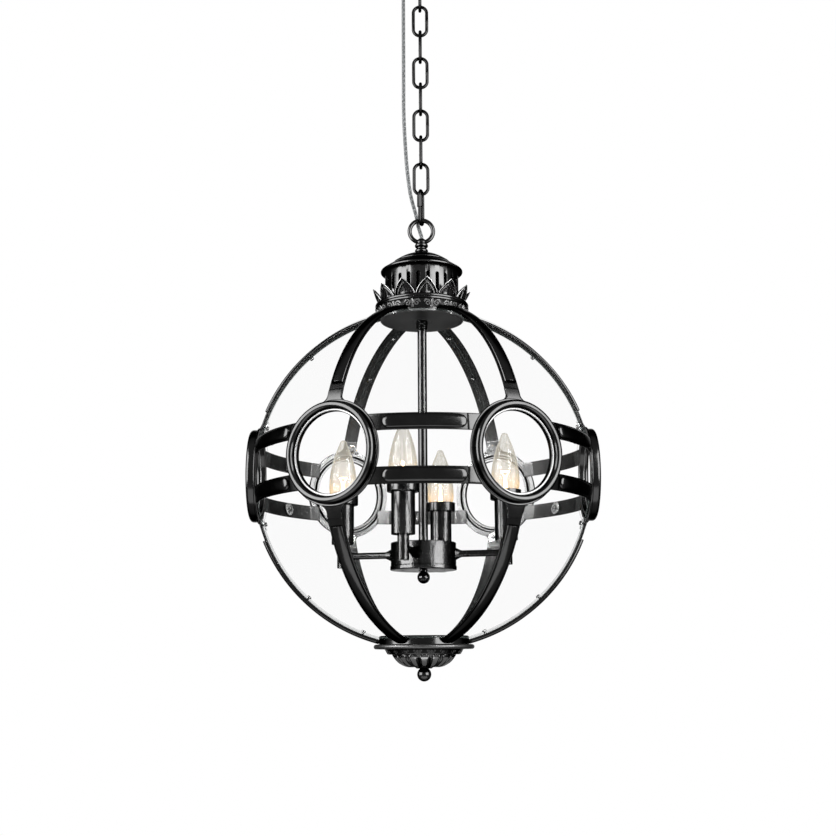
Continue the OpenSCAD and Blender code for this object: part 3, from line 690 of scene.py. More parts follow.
    @staticmethod
    def fuse(obj: Piece, other: Piece) -> None:
        """Joins another solid to a piece in one skin and throws the other away."""
        Bench.apply(obj, "BOOLEAN", operation="UNION", solver="EXACT", object=other)
        bpy.data.objects.remove(other)

    @staticmethod
    def move(obj: Piece, matrix: Matrix) -> Piece:
        """Moves a piece's own mesh, so that its object stays at the origin."""
        obj.data.transform(matrix)
        return obj

    @staticmethod
    def shift(obj: Piece, x: float, y: float, z: float) -> Piece:
        """Moves a piece's mesh by millimetres."""
        return Bench.move(obj, Matrix.Translation(Vector((x, y, z)) * MM))

    @staticmethod
    def twin(obj: Piece, matrix: Matrix) -> Piece:
        """Copies a piece with a mesh of its own, and moves the copy's mesh."""
        copy = obj.copy()
        copy.data = obj.data.copy()
        bpy.context.scene.collection.objects.link(copy)
        return Bench.move(copy, matrix)

    @staticmethod
    def join(name: str, parts: Sequence[Piece]) -> Piece:
        """Joins pieces into one object under a name."""
        bpy.ops.object.select_all(action="DESELECT")
        for part in parts:
            part.select_set(True)
        bpy.context.view_layer.objects.active = parts[0]
        if len(parts) > 1:
            bpy.ops.object.join()
        parts[0].name = name
        return parts[0]

    @staticmethod
    def repeat(name: str, obj: Piece, places: Sequence[Matrix]) -> Piece:
        """Copies a piece to each place and joins the copies.

        Args:
            name: the joined object's name.
            obj: the piece, which is used up.
            places: how each copy is moved.

        Returns:
            The joined copies.
        """
        copies = [Bench.twin(obj, matrix) for matrix in places]
        bpy.data.objects.remove(obj)
        return Bench.join(name, copies)

    @staticmethod
    def smooth(obj: Piece, angle: float) -> None:
        """Shades a piece smooth except over edges sharper than an angle."""
        Bench.pick(obj)
        bpy.ops.object.shade_smooth_by_angle(angle=math.radians(angle))

    @staticmethod
    def bar(
        name: str, points: Sequence[Point], radius: float, sides: int = 8, closed: bool = False
    ) -> Piece:
        """Bends a round bar of a radius along points, all in millimetres.

        Args:
            name: the object's name.
            points: the points along its middle.
            radius: its radius.
            sides: how many sides the bar has round it.
            closed: whether its ends meet.

        Returns:
            The bar.
        """
        curve = bpy.data.curves.new(name, "CURVE")
        curve.dimensions = "3D"
        curve.bevel_depth = radius * MM
        curve.bevel_resolution = max(0, sides // 2 - 2)
        curve.use_fill_caps = not closed
        spline = curve.splines.new("POLY")
        spline.use_cyclic_u = closed
        spline.points.add(len(points) - 1)
        for knot, point in zip(spline.points, points):
            knot.co = (*(Vector(point) * MM), 1)
        obj = bpy.data.objects.new(name, curve)
        bpy.context.scene.collection.objects.link(obj)
        Bench.pick(obj)
        bpy.ops.object.convert(target="MESH")
        return Bench.weld(bpy.context.object)


@dataclass
class SubAssembly:
    """A group of pieces that are made together and ride on the same body."""

    body: str = "lantern"
    lift: float = GLOBE_Z
    slot: str = "black_nickel"

    def fit(
        self,
        obj: Piece,
        finish: Finish,
        stands_for: Sequence[str] = (),
        body: Optional[str] = None,
        slot: Optional[str] = None,
        smooth: float = 32.0,
    ) -> Piece:
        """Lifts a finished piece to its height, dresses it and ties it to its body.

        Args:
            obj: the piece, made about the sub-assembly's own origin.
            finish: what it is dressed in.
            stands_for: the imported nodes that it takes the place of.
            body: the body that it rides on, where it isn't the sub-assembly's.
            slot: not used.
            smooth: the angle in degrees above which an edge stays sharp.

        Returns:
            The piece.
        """
        Bench.shift(obj, 0, 0, self.lift)
        Bench.smooth(obj, smooth)
        obj.data.materials.clear()
        obj.data.materials.append(finish.material())
        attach(obj, body or self.body)
        slot or self.slot
        if stands_for:
            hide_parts(*stands_for)
        LOG.info("%s: %d faces", obj.name, len(obj.data.polygons))
        return obj

    @staticmethod
    def dress(obj: Piece, finish: Finish, chosen: Callable[[Face], bool]) -> None:
        """Gives a piece that is in its place a second finish on the chosen faces.

        Args:
            obj: the piece.
            finish: the second finish.
            chosen: says which faces it covers.
        """
        obj.data.materials.append(finish.material())
        index = len(obj.data.materials) - 1
        for face in obj.data.polygons:
            if chosen(face):
                face.material_index = index

    @staticmethod
    def outward(face: Face) -> float:
        """How far a face looks out of the globe: 1 straight out, -1 at its middle."""
        return face.normal.dot((face.center - CENTRE).normalized())


# The frame


@dataclass
class GlobeFrame(SubAssembly):
    """Port rings, ribs and bands with their mouldings, and what holds the glass."""

    strap_in: float = 243.5
    strap_out: float = 246.0
    strap_w: float = 22.5
    crown_w: float = 18.0
    crown_h: float = 4.0
    band_z: float = 34.5
    sweep_step: float = 1.25
    rib_from: float = 20.4
    rib_upto: float = 75.6
    rib_down_to: float = 75.0
    crown_inset: float = 0.2
    band_half: float = 12.93
    tab_from: float = 12.4
    ring_r: float = 70.0
    ring_back: float = 235.53
    ring_t: float = 3.0
    opening_r: float = 53.8
    roll_at: float = 62.2
    roll_r: float = 5.0
    roll_top: float = 250.0
    bead_r: float = 2.0
    bead_up: float = 2.6
    rim_r: float = 1.2
    groove_r: float = 2.6
    flare_r: float = 8.0
    washer_r: float = 9.25
    washer_t: float = 1.5
    washer_e: float = 17.19
    glass_in: float = 240.2
    screw_r: float = 1.7
    screw_len: float = 5.2
    head_r: float = 3.2
    head_h: float = 2.4
    screw_e: tuple[float, float] = (47.0, 69.0)
    worn_w: float = 3.8
    bead_highlight_from: float = 0.5
    back_from: float = -0.8

    @property
    def tilt(self) -> float:
        """The elevation of a band's middle line, in degrees."""
        return math.degrees(math.asin(self.band_z / ((self.strap_in + self.strap_out) / 2)))

    def strap_section(self) -> list[Flat]:
        """A strap's section with eased edges, its middle on the X axis."""
        half, ease = self.strap_w / 2, 0.5
        low, high = self.strap_in, self.strap_out
        return [
            (low, -half + ease),
            (low + ease, -half),
            (high - ease, -half),
            (high, -half + ease),
            (high, half - ease),
            (high - ease, half),
            (low + ease, half),
            (low, half - ease),
        ]

    def crown_section(self) -> list[Flat]:
        """Half of a moulding's section, from its ridge down to its foot."""
        half, height = self.crown_w / 2, self.crown_h
        fullness = 2.5
        rise = []
        for i in range(9):
            turn = math.radians(90 * i / 8)
            across = half * math.sin(turn) ** (2 / fullness)
            up = height * math.cos(turn) ** (2 / fullness)
            rise.append((self.strap_out + up, across))
        sunk = self.strap_out - 0.6
        return rise + [(sunk, half), (sunk, half / 2), (sunk, 0.0)]

    def pill(
        self,
        name: str,
        section: Sequence[Point],
        sweep: float,
        axis: Point,
        ends: Sequence[Vector],
    ) -> Piece:
        """Sweeps half a moulding out and back round both of its rounded ends.

        Args:
            name: the object's name.
            section: the half section at the first end.
            sweep: the angle between the centres of the two ends.
            axis: the axis that the moulding bends about.
            ends: the directions of the centres of the two ends.

        Returns:
            The moulding as one closed skin.
        """
        steps = max(6, int(abs(sweep) / self.sweep_step))
        line = Bench.outline(name, section, closed=False)
        first, last = (tuple(end) for end in ends)
        return Bench.spin(
            line,
            [(sweep, axis, steps), (180, last, 12), (-sweep, axis, steps), (180, first, 12)],
        )

    def rib(self, stop: float) -> Piece:
        """One rib up the front meridian, along +X, from a ring's tab to stop degrees."""
        section = [raised(self.rib_from) @ Vector((x, y, 0)) for x, y in self.strap_section()]
        strap = Bench.outline("rib_strap", [tuple(p) for p in section], closed=True)
        steps = int((stop - self.rib_from) / self.sweep_step)
        Bench.spin(strap, [(self.rib_from - stop, (0, 1, 0), steps)])
        inset = math.degrees((self.crown_w / 2 + self.crown_inset) / self.strap_out)
        low = self.rib_from + inset
        half = [raised(low) @ Vector((x, -y, 0)) for x, y in self.crown_section()]
        crown = self.pill(
            "rib_crown",
            [tuple(p) for p in half],
            -(stop - low),
            (0, 1, 0),
            [raised(low) @ Vector((1, 0, 0)), raised(stop) @ Vector((1, 0, 0))],
        )
        return Bench.join("rib", [strap, crown])

    def band(self) -> Piece:
        """One upper band, its middle on +X."""
        lean = raised(self.tilt)

        def placed(turn: float, points: Sequence[Flat]) -> list[Point]:
            """Leans a flat section and turns it to its place along the band."""
            matrix = Matrix.Rotation(math.radians(turn), 4, "Z") @ lean
            return [tuple(matrix @ Vector((x, 0, y))) for x, y in points]

        strap = Bench.outline(
            "band_strap", placed(-self.band_half, self.strap_section()), closed=True
        )
        Bench.spin(strap, [(2 * self.band_half, (0, 0, 1), 24)])
        reach = self.strap_out * math.cos(math.radians(self.tilt))
        cap = self.band_half - math.degrees((self.crown_w / 2 + self.crown_inset) / reach)
        ends = [
            Matrix.Rotation(math.radians(t), 3, "Z") @ (lean.to_3x3() @ Vector((1, 0, 0)))
            for t in (-cap, cap)
        ]
        half = [(x, -y) for x, y in self.crown_section()]
        crown = self.pill("band_crown", placed(-cap, half), 2 * cap, (0, 0, 1), ends)
        return Bench.join("band", [strap, crown])

    def ring(self) -> Piece:
        """A port ring about +X with its flat tabs for two ribs and four bands."""
        back, face = self.ring_back, self.ring_back + self.ring_t
        opening, roll_out = self.opening_r, self.roll_at + self.roll_r
        bead = (opening + self.bead_r, face + self.bead_up)
        roll = (self.roll_at, self.roll_top - self.roll_r)
        rim = (self.ring_r - self.rim_r, face - self.rim_r)
        profile = (
            [(opening, back + 0.4), (opening, face + self.bead_up)]
            + arc(bead, self.bead_r, 180, 10, 10)[1:]
            + arc(roll, self.roll_r, 172, 0, 14)
            + [(roll_out, face + 0.6), (roll_out + 0.6, face)]
            + arc(rim, self.rim_r, 90, 0, 4)
            + [(self.ring_r, back + 0.5), (self.ring_r - 0.5, back)]
            + [(self.roll_at + 1.2, back), (self.roll_at + 0.8, back + 0.4)]
            + arc((self.roll_at - 2.0, back + 2.0), self.groove_r, 0, 180, 12)
            + [(self.roll_at - 4.8, back + 0.4), (self.roll_at - 5.2, back)]
            + [(opening + 0.4, back)]
        )
        ring = Bench.lathe("ring", profile, steps=WIDE, closed=True)
        Bench.move(ring, STAND)
        tabs = [self.rib_tab(s) for s in (1, -1)]
        tabs += [self.band_tab(s, t) for s in (1, -1) for t in (1, -1)]
        return Bench.join("ring", [ring, *tabs])

    def rib_tab(self, side: int) -> Piece:
        """The flared plate above (1) or below (-1) a ring, out to the rib's end."""
        top = self.strap_in * math.sin(math.radians(self.rib_from))
        foot = self.ring_r - 4.0
        fillet = self.ring_r + self.flare_r - 2.0

        def place(across: float, up: float) -> Point:
            """Takes shares across and up the rib's tab to a place."""
            height = foot + (top - foot) * up
            width = self.strap_w / 2
            if height < fillet:
                drop = min(self.flare_r - 0.4, fillet - height)
                width += self.flare_r - math.sqrt(self.flare_r**2 - drop**2)
            sweep = math.asin(height / self.strap_in)
            out = self.strap_in * math.cos(sweep)
            return (out, (2 * across - 1) * width, side * height)

        tab = Bench.grid("rib_tab", 8, 10, place)
        return self.plate(tab)

    def band_tab(self, side: int, hand: int) -> Piece:
        """The plate that runs from a ring to a band's end, on one side of four."""
        inner, outer = self.tab_from, PITCH / 2 - self.band_half
        reach = math.radians(self.tilt)

        def place(across: float, up: float) -> Point:
            """Takes shares across and up the band's tab to a place."""
            turn = math.radians(inner + (outer - inner) * up) * hand
            flat = (2 * across - 1) * self.strap_w / 2
            out = self.strap_in * math.cos(reach) - flat * math.sin(reach)
            height = self.strap_in * math.sin(reach) + flat * math.cos(reach)
            return (out * math.cos(turn), out * math.sin(turn), side * height)

        tab = Bench.grid("band_tab", 6, 6, place)
        return self.plate(tab)

    def plate(self, sheet: Piece) -> Piece:
        """Thickens a tab's inner face outwards to the strap's thickness."""
        middle = sum((v.co for v in sheet.data.vertices), Vector())
        Bench.face(sheet, lambda _: middle)
        Bench.thicken(sheet, self.strap_out - self.strap_in, 1)
        return Bench.soften(sheet, 0.4, 2, 60)

    def build(self) -> None:
        """Makes the frame."""
        ring = self.ring()
        for i, turn in enumerate(PORTS):
            made = Bench.twin(ring, turn)
            made.name = f"port_ring_{i + 1}_moulded"
            self.fit(made, BLACK_NICKEL, [f"port_ring_{i + 1}"])
            # the top of each bead wears a paler plate as a painted highlight
            self.bead(made, turn.to_3x3() @ Vector((1, 0, 0)))
            self.backs(made, ROLLED_NICKEL)
        bpy.data.objects.remove(ring)
        for name, piece, places, below in (
            ("upper_ribs", self.rib(self.rib_upto), PORTS, False),
            ("lower_ribs", self.rib(self.rib_down_to), PORTS, True),
            ("lower_bands", self.band(), PANES, True),
            ("upper_bands", self.band(), PANES, False),
        ):
            if below:
                places = [place @ FLIP for place in places]
            row = Bench.repeat(f"{name}_moulded", piece, places)
            if below:
                Bench.weld(row)
            self.backs(self.fit(row, BLACK_NICKEL, [name]), BACK_NICKEL)
        self.fasteners()

    def bead(self, ring: Piece, axis: Vector) -> None:
        """Paints a highlight on the top of the bead round a ring's opening, as a paler plate.

        Args:
            ring: a ring in its place.
            axis: the way that it faces.
        """
        reach = self.opening_r + self.worn_w

        def bead_has_painted_highlight(face: Face) -> bool:
            """Whether a face is on top of the bead."""
            place = (face.center - CENTRE) / MM
            off = (place - axis * place.dot(axis)).length
            return off < reach and face.normal.dot(axis) > self.bead_highlight_from

        self.dress(ring, BEAD_HIGHLIGHT_PAINTED, bead_has_painted_highlight)

    def backs(self, obj: Piece, finish: Finish) -> None:
        """Dresses the faces that look at the middle of the globe."""
        self.dress(obj, finish, lambda face: self.outward(face) < self.back_from)

    def washer_spots(self) -> list[Matrix]:
        """Where the washers sit: over and under each ring, and at the middle of each band."""
        spots = []
        for side in (1, -1):
            spots += [port @ raised(side * self.washer_e) for port in PORTS]
            spots += [pane @ raised(side * self.tilt) for pane in PANES]
        return spots

    def under_glass(self, radius: float) -> float:
        """How far from the globe's middle a flat round piece meets the glass inside."""
        return math.sqrt(self.glass_in**2 - radius**2) - CLEAR

    def fasteners(self) -> None:
        """Makes the clear washers and the pan-head screws inside the globe."""
        washer_top = self.under_glass(self.washer_r)
        r, t = self.washer_r, self.washer_t
        profile = (
            [(1.8, 0.0), (r - 0.3, 0.0), (r, 0.3)]
            + arc((r - 0.8, t - 0.8), 0.8, 0, 90, 4)
            + [(3.4, t), (1.8, t - 0.3)]
        )
        washer = Bench.lathe("washer", profile, steps=36, closed=True)
        # the rounded rim faces the middle of the globe
        Bench.move(washer, Matrix.Translation((washer_top * MM, 0, 0)) @ raised(90))
        washers = Bench.repeat("glass_washers_moulded", washer, self.washer_spots())
        self.fit(washers, ACRYLIC, ["glass_washers"], slot="clear_washer")
        screw = self.screw()
        on_washer = Matrix.Translation(((washer_top - self.washer_t - CLEAR) * MM, 0, 0))
        places = [spot @ on_washer for spot in self.washer_spots()]
        on_glass = Matrix.Translation((self.under_glass(self.head_r) * MM, 0, 0))
        for side in (1, -1):
            for port in PORTS:
                places += [port @ raised(side * e) @ on_glass for e in self.screw_e]
        screws = Bench.repeat("frame_screws_headed", screw, places)
        self.fit(screws, DARK_STEEL, ["frame_screws"], slot="dark_metal")

    def screw(self) -> Piece:
        """A pan-head screw with a cross recess, its head below +X's origin."""
        r, low = self.screw_r, -self.head_h
        profile = [(0, low)] + arc((1.9, -1.1), 1.3, -90, 0, 4) + [(self.head_r, 0), (r, 0)]
        profile += [(r, self.screw_len - 0.4), (0, self.screw_len)]
        screw = Bench.lathe("screw", profile, steps=20)
        for turn in (0, 90):
            Bench.cut(screw, Bench.block((3.4, 0.7, 1.8), (0, 0, low), turn))
        return Bench.move(screw, STAND)


@dataclass
class GlassPanels(SubAssembly):
    """The twelve bent glass panels inside the frame."""

    slot: str = "panel_glass"
    outer: float = 243.2
    wall: float = 3.0
    gap: float = 5.0
    ring_r: float = 66.5
    foot_z: float = 28.25
    upper_pole_r: float = 63.5
    lower_pole_r: float = 65.5
    edge_to: float = 0.6
    columns: int = 40
    rows: int = 36

    def panel(self, name: str, pole_r: float) -> Piece:
        """One upper panel, its middle on +X.

        Args:
            name: the object's name.
            pole_r: how far from the globe's axis its narrow end stops.

        Returns:
            The panel as a closed solid.
        """
        r = self.outer
        edge = math.asin(self.ring_r / r)
        top = math.acos(pole_r / r)
        foot = math.asin(self.foot_z / r)
        half = math.radians(PITCH / 2)

        def place(across: float, up: float) -> Point:
            """Takes shares across and up the panel to a place."""
            side = 2 * across - 1
            low = foot
            # beside a port ring the foot climbs round it, found in a few passes
            for _ in range(3):
                reach = half - math.asin(self.gap / 2 / (r * math.cos(low)))
                off = half - abs(side) * reach
                if off < edge:
                    low = max(foot, math.acos(math.cos(edge) / math.cos(off)))
            rise = low + (top - low) * up
            reach = half - math.asin(self.gap / 2 / (r * math.cos(rise)))
            turn = side * reach
            flat = r * math.cos(rise)
            return (flat * math.cos(turn), flat * math.sin(turn), r * math.sin(rise))

        sheet = Bench.grid(name, self.columns, self.rows, place)
        Bench.face(sheet, lambda centre: centre)
        Bench.thicken(sheet, self.wall, -1)
        return Bench.soften(sheet, 0.35, 1, 60)

    def build(self) -> None:
        """Makes the panels."""
        panel = self.panel("upper", self.upper_pole_r)
        self.edged(Bench.repeat("upper_glass_bent", panel, PANES))
        panel = self.panel("lower", self.lower_pole_r)
        lower = Bench.repeat("lower_glass_bent", panel, [pane @ FLIP for pane in PANES])
        self.edged(Bench.weld(lower))

    def edged(self, glass: Piece) -> None:
        """Dresses a row of panels, their edges apart from their faces."""
        self.fit(glass, PANEL_GLASS, [glass.name.replace("_bent", "")])
        self.dress(glass, GLASS_EDGE, lambda face: abs(self.outward(face)) < self.edge_to)


# Ornament


@dataclass
class ScrollFrieze:
    """A run of paired scrolls with a bud between them, laid on a turned surface."""

    units: int
    size: float
    depth: float
    foot: float
    radius_at: Callable[[float], float]

    def wire(self, name: str, flat: Sequence[Flat], thick: float) -> Piece:
        """Bends a bar along points that are given flat, along the run and up.

        Args:
            name: the bar's name.
            flat: the points, in units of the scroll's size.
            thick: the bar's radius.

        Returns:
            The bar.
        """
        points = []
        for along, up in flat:
            height = self.foot + up * self.size
            r = self.radius_at(height)
            turn = along * self.size / r
            points.append((r * math.cos(turn), r * math.sin(turn), height))
        return Bench.bar(name, points, thick, sides=6)

    def build(self, name: str) -> Piece:
        """Makes the whole run.

        Args:
            name: the object's name.

        Returns:
            The joined scrolls.
        """
        parts = []
        for hand in (1, -1):
            volute = []
            for i in range(22):
                turn = math.radians(-70 + 27 * i) * hand
                grow = 0.40 * (1 - i / 24)
                along = hand * 0.5 + hand * grow * math.cos(abs(turn))
                volute.append((along, 0.5 + grow * math.sin(abs(turn))))
            parts.append(self.wire("volute", volute, self.depth))
            stem = [(hand * (0.06 + 0.10 * t), 0.04 + 0.30 * t * t) for t in (0, 0.33, 0.66, 1)]
            parts.append(self.wire("stem", stem, self.depth * 0.8))
        bud = [(0.0, 0.12), (0.0, 0.35), (0.0, 0.62), (0.0, 0.88)]
        parts.append(self.wire("bud", bud, self.depth * 1.2))
        for hand in (1, -1):
            leaf = [(0.0, 0.3), (hand * 0.12, 0.55), (hand * 0.07, 0.8), (0.0, 0.9)]
            parts.append(self.wire("leaf", leaf, self.depth * 0.7))
        unit = Bench.join("unit", parts)
        turns = [turned_z(90 + 360 * i / self.units) for i in range(self.units)]
        return Bench.repeat(name, unit, turns)


@dataclass
class LanternTop(SubAssembly):
    """The neck with its loop, the cap, the vented drum, the leaves and the disc."""

    disc_z: float = 232.0
    disc_r: float = 61.8
    disc_t: float = 2.5
    collar_top: float = 257.0
    collar_foot: float = 251.0
    collar_r: float = 69.7
    drum_r: float = 55.0
    drum_top: float = 306.0
    slot_count: int = 24
    slot_w: float = 5.7
    slot_h: float = 34.0
    slot_up: float = 3.0
    slot_turn: float = -6.0
    cap_r: float = 61.5
    cap_top: float = 337.0
    step_r: float = 42.0
    step_z: float = 321.0
    neck_top: float = 362.0
    neck_r: float = 10.0
    loop_r: float = 17.7
    loop_wire: float = 3.25
    loop_z: float = 373.0
    rod_r: float = 5.0
    rod_low: float = 222.0
    leaves: int = 12
    leaf_w: float = 33.5
    leaf_h: float = 22.5
    leaf_lean: float = 10.0
    leaf_turn: float = 6.0
    leaf_t: float = 1.3
    edge_r: float = 0.62
    mouth_r: float = 54.0
    sheet: float = 1.5

    def cone_r(self, height: float) -> float:
        """The radius of the ornament ring at a height."""
        low = self.disc_z + self.disc_t
        share = (height - low) / (self.collar_foot - low)
        return self.disc_r + (self.collar_r - 0.2 - self.disc_r) * share

    @staticmethod
    def bow(inner: Flat, outer: Flat, radius: float) -> list[Flat]:
        """Points on an arc that falls, bulging upwards, from inner to outer."""
        at, steps = bowed(inner, outer, radius), 12
        return [at(i / steps) for i in range(steps + 1)]

    def build(self) -> None:
        """Makes the top of the lantern, from the loop down."""
        self.loop()
        self.rod()
        self.cap()
        self.drum()
        self.crown()
        self.collar()
        self.disc()

    def loop(self) -> None:
        """The hanging loop on its beaded neck."""
        loop = Bench.ring(self.loop_r, self.loop_wire, (72, 20), self.loop_z)
        base, bead, r = self.cap_top, 3.4, self.neck_r
        profile = (
            [(0, base), (r, base), (r, base + 1.0), (r - 1.6, base + 1.4)]
            + arc((r - bead, base + 4.5), bead, -60, 62, 8)
            + [(7.3, base + 8.2), (7.3, base + 9.2)]
            + arc((r - bead, base + 13.0), bead, -62, 62, 8)
            + [(7.0, base + 16.6)]
            + arc((0, self.neck_top - 8), 8, 12, 80, 8)
            + [(0, self.neck_top)]
        )
        neck = Bench.lathe("neck", profile, steps=64)
        Bench.fuse(loop, neck)
        loop.name = "top_loop_turned"
        self.fit(loop, BLACK_NICKEL, ["top_loop"])

    def rod(self) -> None:
        """The threaded rod down the middle, its thread as rings a millimetre apart."""
        r, low, high = self.rod_r, self.rod_low, self.cap_top + 5.0
        points = [(0.0, low), (r - 0.5, low)]
        points += ridges(low + 0.5, high - 1.0, (r - 0.45, r), 1.0, 0.5)
        points += [(r - 0.5, high), (0.0, high)]
        rod = Bench.lathe("centre_nipple_threaded", points, steps=32)
        self.fit(rod, DARK_STEEL, ["centre_nipple"], slot="zinc_steel")

    def cap(self) -> None:
        """The two-tier cap, spun from sheet with a rolled rim."""
        lip = 1.8
        rim, brim, mouth = self.cap_r - lip, self.drum_top, self.mouth_r
        outer = (
            [(5.2, self.cap_top)]
            + self.bow((self.neck_r, self.cap_top), (self.step_r, self.step_z + 1.6), 70)
            + arc((self.step_r - 0.2, self.step_z + 0.9), 0.9, 60, -90, 5)
            + self.bow((self.step_r - 0.6, self.step_z), (rim, brim + 2 * lip), 90)
            + arc((rim, brim + lip), lip, 90, -150, 10)
        )
        inner = [(mouth, brim + 0.2), (mouth, brim + 1.6), (rim - 2.4, brim + 2.0)]
        step = (self.step_r - 2.0, self.step_z - self.sheet)
        under = self.bow(step, (rim - 2.4, brim + 2.2), 90)
        crown = (5.2, self.cap_top - self.sheet)
        over = self.bow(crown, (self.step_r - 2.0, self.step_z), 70)
        profile = outer + inner + under[::-1] + over[::-1]
        cap = Bench.lathe("cap_dome_spun", profile, steps=WIDE, closed=True)
        self.fit(cap, SPUN_NICKEL, ["cap_dome"])

    def drum(self) -> None:
        """The drum with its round-topped vent slots."""
        r, low, high = self.drum_r, self.collar_top, self.drum_top
        shell = Bench.lathe(
            "vent_drum_pierced",
            [(r - self.sheet, low), (r, low), (r, high), (r - self.sheet, high)],
            steps=144,
            closed=True,
        )
        half, foot = self.slot_w / 2, low + self.slot_up
        shape = [(-half, foot), (half, foot)]
        shape += arc((0, foot + self.slot_h - half), half, 0, 180, 10)
        reach = 8
        cutters = []
        for i in range(self.slot_count):
            tool = Bench.outline("slot", [(r - reach, y, z) for y, z in shape], closed=True)
            with Bench.editing(tool):
                bpy.ops.mesh.edge_face_add()
                through = {"value": (2 * reach * MM, 0, 0)}
                bpy.ops.mesh.extrude_region_move(TRANSFORM_OT_translate=through)
            turn = turned_z(self.slot_turn + 360 * i / self.slot_count)
            cutters.append(Bench.move(tool, turn))
        Bench.cut(shell, Bench.join("slots", cutters))
        Bench.soften(shell, 0.3, 2, 50)
        self.fit(shell, SPUN_NICKEL, ["vent_drum"])

    def crown(self) -> None:
        """The crown of pointed leaves with raised edges and veins."""
        foot_r = self.collar_r - 8.6
        w, h = self.leaf_w, self.leaf_h
        # a smaller leaf is drawn inside each: how much shorter and narrower it is
        shorter, narrower = 1.45, 0.62

        def half_at(up: float) -> float:
            """Half of the leaf's width at a height."""
            return w / 2 * max(0.0, 1 - (up / h) ** 1.5)

        def ridge(gap: float, width: float) -> float:
            """A rounded ridge's height, from 1 on its line to 0 at its width."""
            return max(0.0, 1 - (gap / width) ** 2)

        def place(across: float, up: float) -> Point:
            """Takes shares across and up the leaf to a place."""
            height = h * (1 - (1 - up) ** 1.15)
            half = max(0.12, half_at(min(height, h)))
            side = 2 * across - 1
            x = side * half
            inner = max(0.0, half_at(min(h, height * shorter)) * narrower)
            edge = 2.1 * ridge((1 - abs(side)) * half - 1.4, 1.5)
            inner_edge = 0.9 * ridge(abs(x) - inner, 1.0) * (height * shorter < h)
            vein = 1.0 * ridge(x, 0.9) * (height < 0.78 * h)
            button = 1.3 * ridge(height - 1.0, 2.4) * ridge(x, 5.0)
            curl = 1.5 * (height / h) ** 3
            relief = edge + inner_edge + vein + button
            r = foot_r + self.leaf_lean * height / (h + 2) + relief + curl
            turn = x / foot_r
            return (r * math.cos(turn), r * math.sin(turn), self.collar_top + height)

        leaf = Bench.weld(Bench.grid("leaf", 34, 26, place), 2e-5)
        Bench.face(leaf, lambda _: Vector((1, 0, 0)))
        Bench.thicken(leaf, self.leaf_t, -1)
        turns = [turned_z(self.leaf_turn + 360 * i / self.leaves) for i in range(self.leaves)]
        proud = Vector((0.5, 0, 0))
        edges = []
        for side in (0.055, 0.945):
            run = [place(side, k / 20) for k in range(20)] + [place(0.5, 1.0)]
            line = [tuple(Vector(point) + proud) for point in run]
            edges.append(Bench.bar("edge", line, self.edge_r, sides=8))
        # the beads along the leaf rims wear the paler plate as a painted highlight
        beads = Bench.repeat("leaf_edges_painted_highlight", Bench.join("edges", edges), turns)
        self.fit(beads, HIGHLIGHT_PAINTED_NICKEL, smooth=60)
        crown = Bench.repeat("leaf_crown_cast", leaf, turns)
        z = self.collar_top
        profile = [(57.8, z), (62.2, z), (62.0, z + 1.6), (61.2, z + 2.2), (58.0, z + 2.2)]
        band = Bench.lathe("band", profile, closed=True)
        crown = Bench.join("leaf_crown_cast", [crown, band])
        self.fit(crown, BLACK_NICKEL, ["leaf_crown"], smooth=50)

    def collar(self) -> None:
        """The rolled collar and the ornament ring under it."""
        r, low, high = self.collar_r, self.collar_foot, self.collar_top
        roll, bore = (high - low) / 2, 47.0
        profile = (
            [(bore, low), (r - roll - 1.5, low)]
            + arc((r - roll, low + roll), roll, -90, 90, 14)
            + [(r - roll - 2.0, high - 0.3), (r - roll - 2.6, high), (bore, high)]
        )
        collar = Bench.lathe("top_collar_rolled", profile, steps=WIDE, closed=True)
        self.fit(collar, BLACK_NICKEL, ["top_collar"])
        base = self.disc_z + self.disc_t
        rim, wall = self.cone_r, 3
        profile = (
            [(rim(base) - wall, base), (rim(base), base)]
            + [(rim(base) + 0.9, base + 0.8), (rim(base) + 0.7, base + 2.0)]
            + [(rim(base + 2.4) - 0.3, base + 2.6), (rim(low - 2.4) - 0.3, low - 2.6)]
            + [(rim(low) + 0.2, low - 1.8), (rim(low), low), (rim(low) - wall, low)]
        )
        ring = Bench.lathe("ornament_ring_cast", profile, steps=WIDE, closed=True)
        self.fit(ring, BLACK_NICKEL, ["ornament_ring"])
        frieze = ScrollFrieze(14, 13.5, 1.1, foot=base + 1.4, radius_at=lambda z: rim(z) - 0.1)
        self.fit(frieze.build("ornament_ring_scrolls"), ROLLED_NICKEL)

    def disc(self) -> None:
        """The underside disc with its turned edge."""
        z, r, t = self.disc_z, self.disc_r, self.disc_t
        profile = (
            [(5.2, z), (14.0, z), (14.4, z + 0.3), (15.0, z + 0.3), (15.4, z)]
            + [(r - 5.0, z), (r - 4.6, z + 0.35), (r - 4.0, z + 0.35), (r - 3.6, z), (r - 0.6, z)]
            + [(r, z + 0.6), (r, z + t), (5.2, z + t)]
        )
        disc = Bench.lathe("top_disc_turned", profile, steps=WIDE, closed=True)
        self.fit(disc, ROLLED_NICKEL, ["top_disc"], slot="dark_metal")


